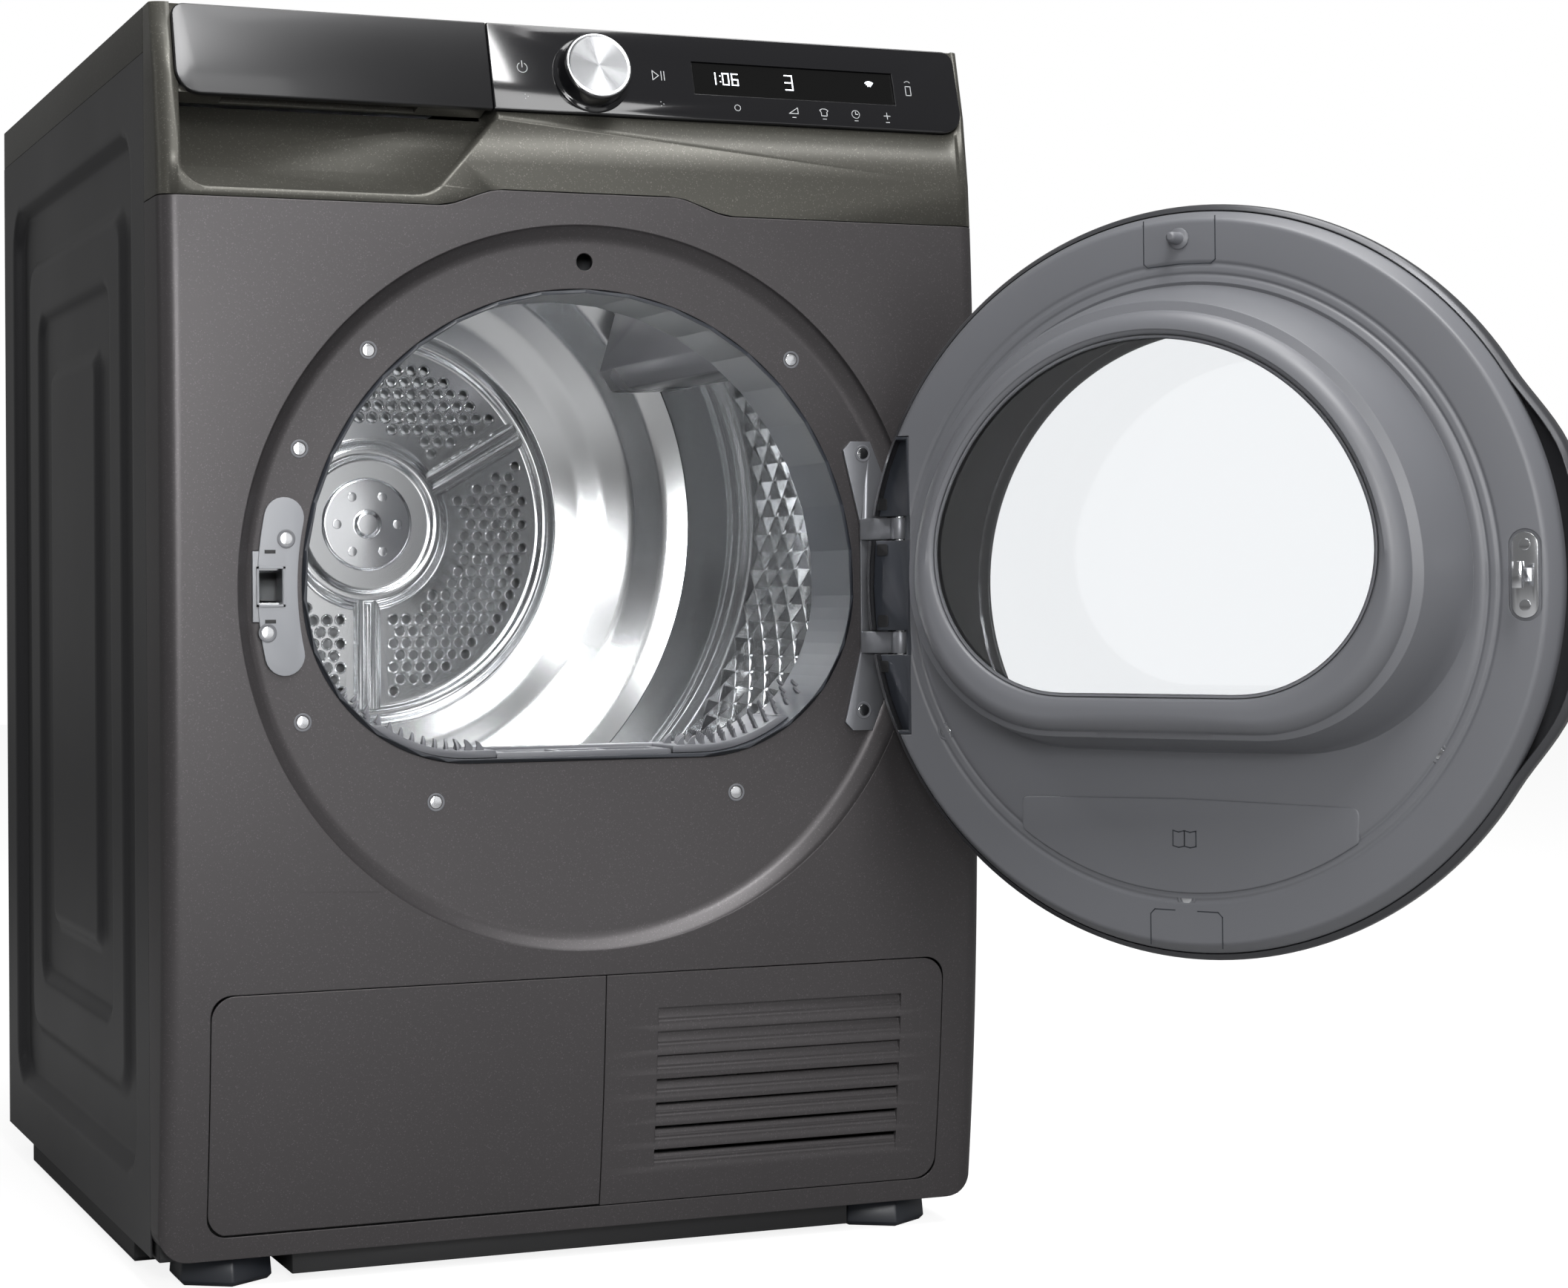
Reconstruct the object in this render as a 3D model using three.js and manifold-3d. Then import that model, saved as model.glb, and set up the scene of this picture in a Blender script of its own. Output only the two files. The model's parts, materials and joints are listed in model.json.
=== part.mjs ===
// A front-loading heat-pump clothes dryer, 600 mm class, as an assembly of separate pieces.
// Millimetres. X to the right, -Y out of the front, Z up from the floor. The door stands open.
import * as THREE from "three";
import { mergeVertices } from "three/addons/utils/BufferGeometryUtils.js";
import Module from "manifold-3d";

const wasm = await Module();
wasm.setup();

// Driving dimensions of the cabinet
const cabinetWidth = 596;
const cabinetHeight = 850;
const rearY = 300;
const frontY = -301; // the most forward line of the bowed front
const flangeY = -251; // where the front's side flanges meet the side panels
const frontCorner = 13;
const lidLip = 30;
const skirtZ = 6; // underside of the base tray
const bodyZ = 22; // lower edge of the sheet-metal panels
const sheet = 1.2; // side and rear sheet metal
const frontSheet = 2;
const gap = 0.4; // between fixed neighbours
const slack = 0.8; // between pieces that move past each other

// The bow of the front seen from the side
const bowMidZ = 450;
const bowFootDrop = 26;
const bowFootPower = 2.85;
const bowHeadDrop = 10.5;
const bowHeadPower = 4;
const bowStep = 66; // height of one flat of the bow

// Control panel, drawer and fascia
const panelHeight = 63; // of the tilted panel, measured straight up
const panelTilt = THREE.MathUtils.degToRad(15.7);
const panelLeft = 13; // left end of the gloss panel, in from the cabinet's side
const panelRight = 6;
const panelThick = 4;
const panelCorner = 17;
const drawerWidth = 219;
const fasciaHeight = 130; // from the seam to the top
const seamHump = 12;
const seamHumpHalf = 62;
const seamHumpFade = 46;
const pocketDepth = 34;
const pocketFoot = 6; // bottom of the finger pocket above the seam
const knobX = 7.5;
const knobRise = 28;
const knobRadius = 24.5;
const knobReach = 18;
const knobShaft = 6;

// Drum
const basementHeight = 235;
const drumSides = 48;
const drumWall = 1.4;
const drumSideRoom = 19; // from the cabinet's side to the drum
const drumRoom = 7; // over the basement
const drumTopRoom = 21; // under the lid's lip
const drumFrontY = -222;
const drumBackY = 246;
const drumSeamY = 194;
const drumLipReach = 30; // the front lip over the opening's radius
const beadY = 72; // middle of the rolled bead that guides the belt's side
const beadDepth = 5;
const beadHalf = 12.6; // half the bead's width inside the drum
const hubRadius = 60;
const shaftRadius = 12;
const lifterCount = 3;
const lifterHeight = 60;
const lifterBase = 90;
const lifterLength = 361;
const lifterStart = 26; // behind the drum's front
const lifterTaper = 34;
const lifterAngle = THREE.MathUtils.degToRad(33.5); // of the first lifter, as the drum stands
const rollerRadius = 25;
const rollerAngle = THREE.MathUtils.degToRad(35);
const beltY = 106;
const beltWidth = 12;
const beltThick = 1.5;
const pulleyRadius = 10;
const idlerRadius = 14;
const idlerBore = 4;
const idlerHalf = 9; // half its length
const idlerShare = 0.72; // how far it stands along the belt from the drum

// Loading opening, recess and door
const openingInset = 77; // opening radius under the drum radius
const openingDrop = 55; // opening centre under the drum centre
const collarWall = 2.5;
const collarFlange = 7;
const recessBand = 47; // recess radius over the opening radius
const recessFloorY = -288;
const recessDraft = 10;
const doorRim = 1.5; // door radius under the recess radius
const doorRimY = -291.2;
const doorFaceY = -344.5;
const rimTurnY = doorRimY - 11.8; // where the rim's slope meets its skirt
const rimSkirtY = rimTurnY - 6;
const shellLipY = rimTurnY - 0.5;
const rimInset = 11.5; // the flat rim's edge under the door radius
const skirtInset = 5;
const shellSkirt = 12.5; // straight part of the outer shell's side
const troughDepth = 16; // of the hinge block behind the rim's skirt
const doorWall = 3;
const handleBulge = 10;
const doorRestAngle = THREE.MathUtils.degToRad(123.2);
const doorSwing = THREE.MathUtils.degToRad(143.2);
const hingeInset = 22.2; // hinge axis in from the door's edge
const hingeY = -316;
const hingePin = 3;
const hingeArm = 15;
const hingeArmHalf = 40; // arm middle above and below the door's middle
const windowInset = 92; // window radius under the door radius

// Service hatch, vent and basement
const hatchMargin = 31;
const hatchFootZ = 37;
const hatchHeadZ = 198;
const hatchSeamX = 9;
const hatchCorner = 14;
const footRadius = 36;
const footHeight = 20.3;
const footInset = 53;
const footY = [-225, 245];
const motorX = 150;
const motorZ = 140;
const motorRadius = 50;
const rotorShaft = 6;
const compressorInset = 160; // its middle in from the cabinet's side
const compressorY = 198;
const pumpY = [210, 262];

// Worked out from the driving dimensions
const halfWidth = cabinetWidth / 2;
const lidZ = cabinetHeight - lidLip;
const panelZ = cabinetHeight - panelHeight;
const seamZ = cabinetHeight - fasciaHeight;
const embossDepth = 8;
const drumRadius = Math.min(
  halfWidth - drumSideRoom,
  (lidZ - drumTopRoom - basementHeight - drumRoom) / 2,
);
const drumZ = lidZ - drumTopRoom - drumRadius;
const openingRadius = drumRadius - openingInset;
const openingZ = drumZ - openingDrop;
const openingFlat = openingRadius * 0.6; // the flat foot of the opening under its middle
const openingFoot = openingRadius * 0.42; // half the flat foot's length
const recessRadius = openingRadius + recessBand;
const recessZ = openingZ - 3;
const doorRadius = recessRadius - doorRim;
const doorZ = recessZ;
const hingeX = doorRadius - hingeInset;
const windowRadius = doorRadius - windowInset;
const padHalf = Math.sqrt(doorRadius ** 2 - hingeX ** 2) + 1;
const latchX = -(recessRadius - 26);
const latchZ = doorZ + 2;
const ahead = frontY - 20; // where cutting tools start, clear of the front
const beside = halfWidth + 5; // where they start, clear of the sides

// Shapes and solids

// A geometry's solid, with its faces pointing outwards.
function solid(geometry) {
  const bare = geometry.index ? geometry.toNonIndexed() : geometry.clone();
  bare.deleteAttribute("normal");
  bare.deleteAttribute("uv");
  const merged = mergeVertices(bare, 1e-4);
  const index = merged.index.array;
  const faces = [];
  for (let i = 0; i < index.length; i += 3) {
    const [a, b, c] = [index[i], index[i + 1], index[i + 2]];
    if (a !== b && b !== c && c !== a) faces.push(a, b, c);
  }
  const make = (triVerts) =>
    new wasm.Manifold(
      new wasm.Mesh({
        numProp: 3,
        vertProperties: merged.attributes.position.array,
        triVerts: new Uint32Array(triVerts),
      }),
    );
  const made = make(faces);
  return made.volume() < 0 ? make(faces.reverse()) : made;
}

const join = (...bodies) => bodies.reduce((whole, body) => whole.add(body));
const cut = (body, ...tools) =>
  tools.reduce((left, tool) => left.subtract(tool), body);

function box(x0, x1, y0, y1, z0, z1) {
  const block = new THREE.BoxGeometry(x1 - x0, y1 - y0, z1 - z0);
  return solid(block.translate((x0 + x1) / 2, (y0 + y1) / 2, (z0 + z1) / 2));
}

function cylinder(axis, centre, radius, from, to, sides = 24) {
  const rod = new THREE.CylinderGeometry(radius, radius, to - from, sides);
  rod.translate(0, (from + to) / 2, 0);
  if (axis === "x") rod.rotateZ(-Math.PI / 2).translate(0, ...centre);
  if (axis === "y") rod.translate(centre[0], 0, centre[1]);
  if (axis === "z") rod.rotateX(Math.PI / 2).translate(...centre, 0);
  return solid(rod);
}

// A profile of [radius, y] turned about a line along Y at x, z.
function turnedY(profile, x, z, sides, shape = (p) => p) {
  const points = profile.map(([r, y]) => new THREE.Vector2(r, y));
  if (profile[0][0] > 0) points.push(points[0].clone());
  const lathe = new THREE.LatheGeometry(points, sides);
  bend(lathe, shape);
  return solid(lathe.translate(x, 0, z));
}

// A profile of [radius, z] turned about a line along Z at x, y.
function turnedZ(profile, x, y, sides) {
  const points = profile.map(([r, z]) => new THREE.Vector2(r, z));
  const lathe = new THREE.LatheGeometry(points, sides);
  return solid(lathe.rotateX(Math.PI / 2).translate(x, y, 0));
}

function bend(geometry, move) {
  const at = geometry.attributes.position;
  const p = new THREE.Vector3();
  for (let i = 0; i < at.count; i++) {
    p.fromBufferAttribute(at, i);
    const q = move(p);
    at.setXYZ(i, q.x, q.y, q.z);
  }
  return geometry;
}

function extruded(shape, depth, steps, curveSegments) {
  const options = { depth, steps, curveSegments, bevelEnabled: false };
  return new THREE.ExtrudeGeometry(shape, options);
}

const frontBasis = new THREE.Matrix4().makeBasis(
  new THREE.Vector3(1, 0, 0),
  new THREE.Vector3(0, 0, 1),
  new THREE.Vector3(0, -1, 0),
);
const sideBasis = new THREE.Matrix4().makeBasis(
  new THREE.Vector3(0, 1, 0),
  new THREE.Vector3(0, 0, 1),
  new THREE.Vector3(1, 0, 0),
);

// An outline in x, z pushed through from y0 to y1.
function facing(shape, y0, y1, curveSegments = 8, move = null, steps = 1) {
  const body = extruded(shape, y1 - y0, steps, curveSegments);
  body.applyMatrix4(frontBasis).translate(0, y1, 0);
  return solid(move ? bend(body, move) : body);
}

// An outline in y, z pushed through from x0 to x1.
function sideways(shape, x0, x1, curveSegments = 2) {
  const body = extruded(shape, x1 - x0, 1, curveSegments);
  return solid(body.applyMatrix4(sideBasis).translate(x0, 0, 0));
}

// An outline in x, y pushed up from z0 to z1.
function plan(shape, z0, z1, curveSegments = 6) {
  return solid(
    extruded(shape, z1 - z0, 1, curveSegments).translate(0, 0, z0),
  );
}

const polygon = (points) =>
  new THREE.Shape(points.map(([a, b]) => new THREE.Vector2(a, b)));

function roundedRectangle(a0, b0, a1, b1, r) {
  const shape = new THREE.Shape();
  shape.moveTo(a0 + r, b0);
  shape.lineTo(a1 - r, b0).absarc(a1 - r, b0 + r, r, -Math.PI / 2, 0);
  shape.lineTo(a1, b1 - r).absarc(a1 - r, b1 - r, r, 0, Math.PI / 2);
  shape.lineTo(a0 + r, b1).absarc(a0 + r, b1 - r, r, Math.PI / 2, Math.PI);
  shape.lineTo(a0, b0 + r).absarc(a0 + r, b0 + r, r, Math.PI, 1.5 * Math.PI);
  return shape;
}

// A circle whose foot is flattened: flat is how far the flat lies under the middle, foot is half its length.
function flattenedCircle(radius, flat, foot, z) {
  const turn = (radius ** 2 - flat ** 2 - foot ** 2) / (2 * (radius - flat));
  const tip = Math.atan2(turn - flat, foot);
  const shape = new THREE.Shape();
  shape.moveTo(foot, z - flat);
  shape.absarc(foot, z - flat + turn, turn, -Math.PI / 2, tip);
  shape.absarc(0, z, radius, tip, Math.PI - tip);
  shape.absarc(-foot, z - flat + turn, turn, Math.PI - tip, 1.5 * Math.PI);
  return shape;
}

// The opening's outline, grown by a margin.
const openingOutline = (margin) =>
  flattenedCircle(
    openingRadius + margin,
    openingFlat + margin,
    openingFoot,
    openingZ,
  );

// The front surface's y at a height: bowed below the control panel, then tilted back.
function frontAt(z) {
  if (z > panelZ) return frontAt(panelZ) + (z - panelZ) * Math.tan(panelTilt);
  const low = z < bowMidZ;
  const reach = low ? bowMidZ - bodyZ : panelZ - bowMidZ;
  const share = Math.abs(z - bowMidZ) / reach;
  return low
    ? frontY + bowFootDrop * share ** bowFootPower
    : frontY + bowHeadDrop * share ** bowHeadPower;
}

// The front's full-width body from z0 to z1, its face set back by inset.
function bowedBody(z0, z1, inset, back = flangeY) {
  const half = halfWidth - inset;
  const face = frontY + inset;
  const r = frontCorner - inset;
  const shape = new THREE.Shape();
  shape.moveTo(-half, back);
  shape.lineTo(-half, face + r);
  shape.absarc(-half + r, face + r, r, Math.PI, 1.5 * Math.PI);
  shape.lineTo(half - r, face);
  shape.absarc(half - r, face + r, r, 1.5 * Math.PI, 2 * Math.PI);
  shape.lineTo(half, back);
  const body = extruded(shape, z1 - z0, Math.ceil((z1 - z0) / bowStep), 3);
  body.translate(0, 0, z0);
  return solid(
    bend(body, (p) => {
      const share = THREE.MathUtils.clamp(
        (flangeY - p.y) / (flangeY - frontY),
        0,
        1,
      );
      p.y += (frontAt(p.z) - frontY) * share;
      return p;
    }),
  );
}

const bowedShell = (z0, z1, wall) =>
  cut(bowedBody(z0, z1, 0), bowedBody(z0 - 1, z1 + 1, wall, flangeY + 1));

// Materials
const finish = (color, roughness, metalness, more = {}) =>
  new THREE.MeshStandardMaterial({ color, roughness, metalness, ...more });
const paintLower = finish(0x484648, 0.42, 0.35);
const paintUpper = finish(0x52514a, 0.42, 0.35);
const paintSide = finish(0x2d2d2f, 0.5, 0.2);
const glossBlack = finish(0x17181a, 0.12, 0);
const greyPlastic = finish(0x62636a, 0.5, 0);
const palePlastic = finish(0x84868a, 0.5, 0);
const darkPlastic = finish(0x2d3138, 0.5, 0);
const blackPlastic = finish(0x151618, 0.55, 0);
const steel = finish(0xc4c6c9, 0.28, 1);
const brightMetal = finish(0xd8dade, 0.2, 1);
const castMetal = finish(0x737478, 0.45, 0.7);
const galvanised = finish(0x9a9c9e, 0.5, 0.8);
const copper = finish(0xb87a50, 0.4, 0.9);
const rubber = finish(0x1b1b1c, 0.85, 0);
const clearGlass = finish(0xdfe6ea, 0.05, 0, {
  transparent: true,
  opacity: 0.35,
});
const whitePlastic = finish(0xd9dadb, 0.5, 0);

const dryer = new THREE.Group();

function piece(parent, name, body, material) {
  const mesh = body.getMesh();
  const geometry = new THREE.BufferGeometry();
  geometry.setAttribute(
    "position",
    new THREE.BufferAttribute(mesh.vertProperties, 3),
  );
  geometry.setIndex(new THREE.BufferAttribute(mesh.triVerts, 1));
  const made = new THREE.Mesh(geometry, material);
  made.name = name;
  parent.add(made);
  return made;
}

// Base tray: a moulded tub, scooped up over each foot
const trayHalf = halfWidth - 3;
const trayFront = flangeY - 11;
const trayBack = rearY - 5;
const trayWall = 3;
const trayTop = 60;
const feet = footY.flatMap((y) =>
  [-1, 1].map((side) => [side * (halfWidth - footInset), y]),
);
function baseTray() {
  const scoop = footRadius + 7;
  const deckZ = footHeight + gap;
  const tub = cut(
    box(-trayHalf, trayHalf, trayFront, trayBack, skirtZ, trayTop),
    box(
      -trayHalf + trayWall,
      trayHalf - trayWall,
      trayFront + trayWall,
      trayBack - trayWall,
      skirtZ + trayWall,
      trayTop + 1,
    ),
  );
  return feet.reduce((tray, [x, y]) => {
    const outX = Math.sign(x) * trayHalf;
    const outY = y < 0 ? trayFront : trayBack;
    const innerX = x - Math.sign(x) * scoop;
    const innerY = y - Math.sign(y) * scoop;
    const across = [Math.min(outX, innerX), Math.max(outX, innerX)];
    const along = [Math.min(outY, innerY), Math.max(outY, innerY)];
    const deck = box(...across, ...along, deckZ - 12, deckZ + trayWall);
    const clear = box(
      across[0] - (x < 0 ? 1 : -trayWall),
      across[1] + (x > 0 ? 1 : -trayWall),
      along[0] - (y < 0 ? 1 : -trayWall),
      along[1] + (y > 0 ? 1 : -trayWall),
      skirtZ - 1,
      deckZ,
    );
    return cut(
      join(tray, deck),
      clear,
      cylinder("z", [x, y], 6, deckZ - 1, deckZ + 9, 12),
    );
  }, tub);
}
piece(dryer, "base_tray", baseTray(), blackPlastic);

// Feet: a six-sided pad on a screwed stem
const footNames = ["front_left", "front_right", "rear_left", "rear_right"];
feet.forEach(([x, y], i) => {
  const pad = turnedZ(
    [
      [0, 0],
      [footRadius - 3, 0],
      [footRadius, 3],
      [footRadius - 1, 15],
      [footRadius - 5, footHeight],
      [5, footHeight],
      [5, footHeight + 25],
      [0, footHeight + 25],
    ],
    x,
    y,
    6,
  );
  piece(dryer, `foot_${footNames[i]}`, pad, darkPlastic);
});

// Side panels: sheet metal with nested steps pressed inwards
const embossMargin = 42;
const embossStep = 46;
const embossLevels = [8, 4.5, 8, 4.5]; // depth of each nested field
function sidePanel(side) {
  const y0 = flangeY + gap;
  const y1 = rearY - 1;
  const z0 = bodyZ;
  const z1 = lidZ - gap;
  const field = (level, grow) => {
    const m = embossMargin + level * embossStep - grow;
    const r = Math.max(34 - level * 5, 8) + grow;
    return roundedRectangle(y0 + m, z0 + m, y1 - m, z1 - m, r);
  };
  const across = (from, to) =>
    side > 0
      ? [halfWidth - to, halfWidth - from]
      : [-halfWidth + from, -halfWidth + to];
  let panel = sideways(
    polygon([
      [y0, z0],
      [y1, z0],
      [y1, z1],
      [y0, z1],
    ]),
    ...across(0, sheet),
  );
  embossLevels.forEach((depth, level) => {
    const deep = Math.max(depth, embossLevels[level - 1] ?? 0) + sheet;
    panel = join(panel, sideways(field(level, sheet), ...across(0, deep)));
    panel = cut(panel, sideways(field(level, 0), ...across(-1, depth)));
    if (deep > depth + sheet)
      panel = cut(
        panel,
        sideways(field(level, -sheet), ...across(depth + sheet, deep + 1)),
      );
  });
  return panel;
}
piece(dryer, "left_side_panel", sidePanel(-1), paintSide);
piece(dryer, "right_side_panel", sidePanel(1), paintSide);

// Rear panel with its inlet hole, and the mains inlet
const inletX = -halfWidth + 70;
const inletZ = 95;
const inletHalf = 22;
const inletRise = 14;
const rearHalf = halfWidth - sheet - gap;
const rearSheetY = rearY - 3;
piece(
  dryer,
  "rear_panel",
  cut(
    facing(
      roundedRectangle(-rearHalf, bodyZ + 8, rearHalf, lidZ - gap, 6),
      rearSheetY,
      rearY,
      3,
    ),
    box(
      inletX - inletHalf - gap,
      inletX + inletHalf + gap,
      rearSheetY - 1,
      rearY + 1,
      inletZ - inletRise - gap,
      inletZ + inletRise + gap,
    ),
  ),
  galvanised,
);
piece(
  dryer,
  "mains_inlet",
  cut(
    box(
      inletX - inletHalf,
      inletX + inletHalf,
      rearY - 22,
      rearY,
      inletZ - inletRise,
      inletZ + inletRise,
    ),
    box(
      inletX - inletHalf + 4,
      inletX + inletHalf - 4,
      rearY - 14,
      rearY + 1,
      inletZ - inletRise + 4,
      inletZ + inletRise - 4,
    ),
  ),
  blackPlastic,
);

// Lid: a shallow cover, open underneath and at the front
const lidWall = 3;
piece(
  dryer,
  "top_cover",
  cut(
    plan(
      roundedRectangle(-halfWidth, flangeY + gap, halfWidth, rearY, 2),
      lidZ,
      cabinetHeight,
      3,
    ),
    box(
      -halfWidth + lidWall,
      halfWidth - lidWall,
      flangeY - 1,
      rearY - lidWall,
      lidZ - 1,
      cabinetHeight - lidWall,
    ),
  ),
  paintUpper,
);

// The seam between the fascia and the lower front: level, with a hump over the door
function seamAt(x) {
  const share = (seamHumpHalf + seamHumpFade - Math.abs(x)) / seamHumpFade;
  return seamZ + seamHump * THREE.MathUtils.smoothstep(share, 0, 1);
}
function seamLine(shift) {
  const points = [];
  const reach = seamHumpHalf + seamHumpFade;
  for (let i = 0; i <= 18; i++) {
    const x = reach * (i / 9 - 1);
    points.push([x, seamAt(x) + shift]);
  }
  return [[-beside, seamZ + shift], ...points, [beside, seamZ + shift]];
}

// Lower front panel
const hatchHalf = halfWidth - hatchMargin;
const hatchHole = roundedRectangle(
  -hatchHalf,
  hatchFootZ,
  hatchHalf,
  hatchHeadZ,
  hatchCorner,
);
const latchBox = { x0: latchX - 13, x1: latchX + 12, half: 23.3, depth: 26 };
const pinZ = doorZ + recessRadius - 25;
const pinHole = 6;
function recessCut(grow) {
  const floor = recessFloorY + grow;
  return turnedY(
    [
      [0, floor],
      [recessRadius - recessDraft + grow, floor],
      [recessRadius + grow, floor - 9],
      [recessRadius + grow, ahead],
      [0, ahead],
    ],
    0,
    recessZ,
    48,
  );
}
function frontPanel() {
  const foot = 20; // radius of the two foot corners
  const straight = 40; // where the side edges run past the panel
  const below = new THREE.Shape();
  below.moveTo(halfWidth - foot, bodyZ);
  below.absarc(halfWidth - foot, bodyZ + foot, foot, -Math.PI / 2, 0);
  below.lineTo(halfWidth, bodyZ + straight);
  below.lineTo(beside, bodyZ + straight);
  for (const [x, z] of seamLine(-gap).reverse()) below.lineTo(x, z);
  below.lineTo(-beside, bodyZ + straight);
  below.lineTo(-halfWidth, bodyZ + straight);
  below.lineTo(-halfWidth, bodyZ + foot);
  below.absarc(-halfWidth + foot, bodyZ + foot, foot, Math.PI, 1.5 * Math.PI);
  const region = facing(below, ahead, flangeY + 5, 5);
  const outer = bowedBody(bodyZ, seamZ + 30, 0).intersect(region);
  const shell = cut(
    outer,
    bowedBody(bodyZ - 1, seamZ + 31, frontSheet, flangeY + 1),
  );
  return cut(
    join(shell, outer.intersect(recessCut(frontSheet))),
    recessCut(0),
    facing(openingOutline(gap), ahead, flangeY, 10),
    facing(hatchHole, ahead, flangeY, 5),
    box(
      latchBox.x0 - gap,
      latchBox.x1 + gap,
      frontY,
      flangeY,
      latchZ - latchBox.half - gap,
      latchZ + latchBox.half + gap,
    ),
    cylinder("y", [0, pinZ], pinHole, frontY, flangeY, 16),
  );
}
piece(dryer, "front_panel", frontPanel(), paintLower);

// Hatch and vent, which share the hole in the foot of the front panel
const hatchGap = 0.7;
const hatchWall = 2.5;
const hatchRegion = (x0, x1) =>
  facing(
    roundedRectangle(
      -hatchHalf + hatchGap,
      hatchFootZ + hatchGap,
      hatchHalf - hatchGap,
      hatchHeadZ - hatchGap,
      hatchCorner + 2,
    ),
    ahead,
    flangeY,
    5,
  ).intersect(
    box(x0, x1, ahead, flangeY, hatchFootZ - 1, hatchHeadZ + 1),
  );
const footShell = bowedShell(bodyZ, hatchHeadZ + 10, hatchWall);

const ventCount = 7;
const ventPitch = 16.5;
const ventSlot = 7;
const ventX = [hatchSeamX + 39, hatchHalf - 33];
function ventPanel() {
  const middle = (hatchFootZ + hatchHeadZ) / 2 - 1;
  const panel = footShell.intersect(
    hatchRegion(hatchSeamX + hatchGap / 2, hatchHalf),
  );
  const slots = [];
  for (let i = 0; i < ventCount; i++) {
    const z = middle + (i - (ventCount - 1) / 2) * ventPitch;
    slots.push(
      box(...ventX, ahead, flangeY, z - ventSlot / 2, z + ventSlot / 2),
    );
  }
  return cut(panel, ...slots);
}
piece(dryer, "vent_panel", ventPanel(), paintLower);

const hatchPivotZ = hatchFootZ + 3.2;
const hatchPivotY = frontAt(hatchPivotZ) + hatchWall / 2;
const hatch = new THREE.Group();
hatch.position.set(0, hatchPivotY, hatchPivotZ);
dryer.add(hatch);
const inHatch = new THREE.Group();
inHatch.position.set(0, -hatchPivotY, -hatchPivotZ);
hatch.add(inHatch);
const hatchLift = 0.9; // raises the hatch's foot off the hole's edge, so that it can turn
piece(
  inHatch,
  "service_door",
  cut(
    footShell.intersect(hatchRegion(-hatchHalf, hatchSeamX - hatchGap / 2)),
    box(
      -hatchHalf - 1,
      hatchSeamX,
      ahead,
      flangeY,
      hatchFootZ,
      hatchFootZ + hatchGap + hatchLift,
    ),
  ),
  paintLower,
);

// Heat exchanger behind the hatch: inner cover with two turning locks, evaporator and condenser
const coverX = [-hatchHalf + 4, hatchSeamX - 5];
const coverY = flangeY - 8;
const coverThick = 6;
const lockZ = (hatchFootZ + hatchHeadZ) / 2;
const lockX = [coverX[0] + 24, coverX[1] - 24];
const lockShaft = 4;
piece(
  dryer,
  "heat_exchanger_cover",
  cut(
    facing(
      roundedRectangle(
        coverX[0],
        hatchFootZ + 5,
        coverX[1],
        hatchHeadZ - 5,
        10,
      ),
      coverY,
      coverY + coverThick,
      3,
    ),
    ...lockX.map((x) =>
      cylinder(
        "y",
        [x, lockZ],
        lockShaft + slack,
        coverY - 1,
        coverY + coverThick + 1,
        14,
      ),
    ),
  ),
  greyPlastic,
);
["left", "right"].forEach((side, i) => {
  const lever = join(
    facing(
      roundedRectangle(
        lockX[i] - 6.5,
        lockZ - 24,
        lockX[i] + 6.5,
        lockZ + 24,
        6,
      ),
      coverY - slack - 7,
      coverY - slack,
      3,
    ),
    cylinder(
      "y",
      [lockX[i], lockZ],
      lockShaft,
      coverY - slack - 1,
      coverY + coverThick + 6,
      14,
    ),
  );
  piece(dryer, `exchanger_lock_${side}`, lever, palePlastic);
});

// A block of plates on a core, for a finned coil.
const plateCount = 12;
function finnedCoil(y0, y1, plates) {
  const x0 = coverX[0] + 4;
  const x1 = coverX[1] - 8;
  const z0 = trayTop - 16;
  const z1 = hatchHeadZ - 6;
  const core = box(x0, x1, y0 + 8, y1 - 8, z0 + 14, z1 - 14);
  const pitch = (x1 - x0 - 2) / (plates - 1);
  let coil = core;
  for (let i = 0; i < plates; i++) {
    const x = x0 + i * pitch;
    coil = coil.add(box(x, x + 2, y0, y1, z0, z1));
  }
  return coil;
}
piece(dryer, "evaporator_coil", finnedCoil(coverY + 27, coverY + 123, plateCount), galvanised);
piece(dryer, "condenser_coil", finnedCoil(coverY + 147, coverY + 299, plateCount), copper);

// Compressor, motor and condensate pump on the tray's floor
const trayFloor = skirtZ + trayWall + gap;
const compressorRadius = 68;
piece(
  dryer,
  "compressor",
  turnedZ(
    [
      [0, trayFloor],
      [52, trayFloor],
      [52, trayFloor + 12],
      [compressorRadius - 4, trayFloor + 24],
      [compressorRadius, trayFloor + 40],
      [compressorRadius, basementHeight - 70],
      [compressorRadius - 14, basementHeight - 46],
      [30, basementHeight - 34],
      [0, basementHeight - 32],
    ],
    halfWidth - compressorInset,
    compressorY,
    24,
  ),
  blackPlastic,
);
const pumpX = 20;
const pumpMidY = (pumpY[0] + pumpY[1]) / 2;
piece(
  dryer,
  "condensate_pump",
  join(
    box(pumpX - 26, pumpX + 26, ...pumpY, trayFloor, trayFloor + 34),
    cylinder("z", [pumpX, pumpMidY], 18, trayFloor + 30, trayFloor + 62, 18),
    cylinder("x", [pumpMidY, trayFloor + 22], 6, pumpX + 20, pumpX + 44, 12),
  ),
  whitePlastic,
);
const motorFront = -58;
const motorBack = 62;
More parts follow.
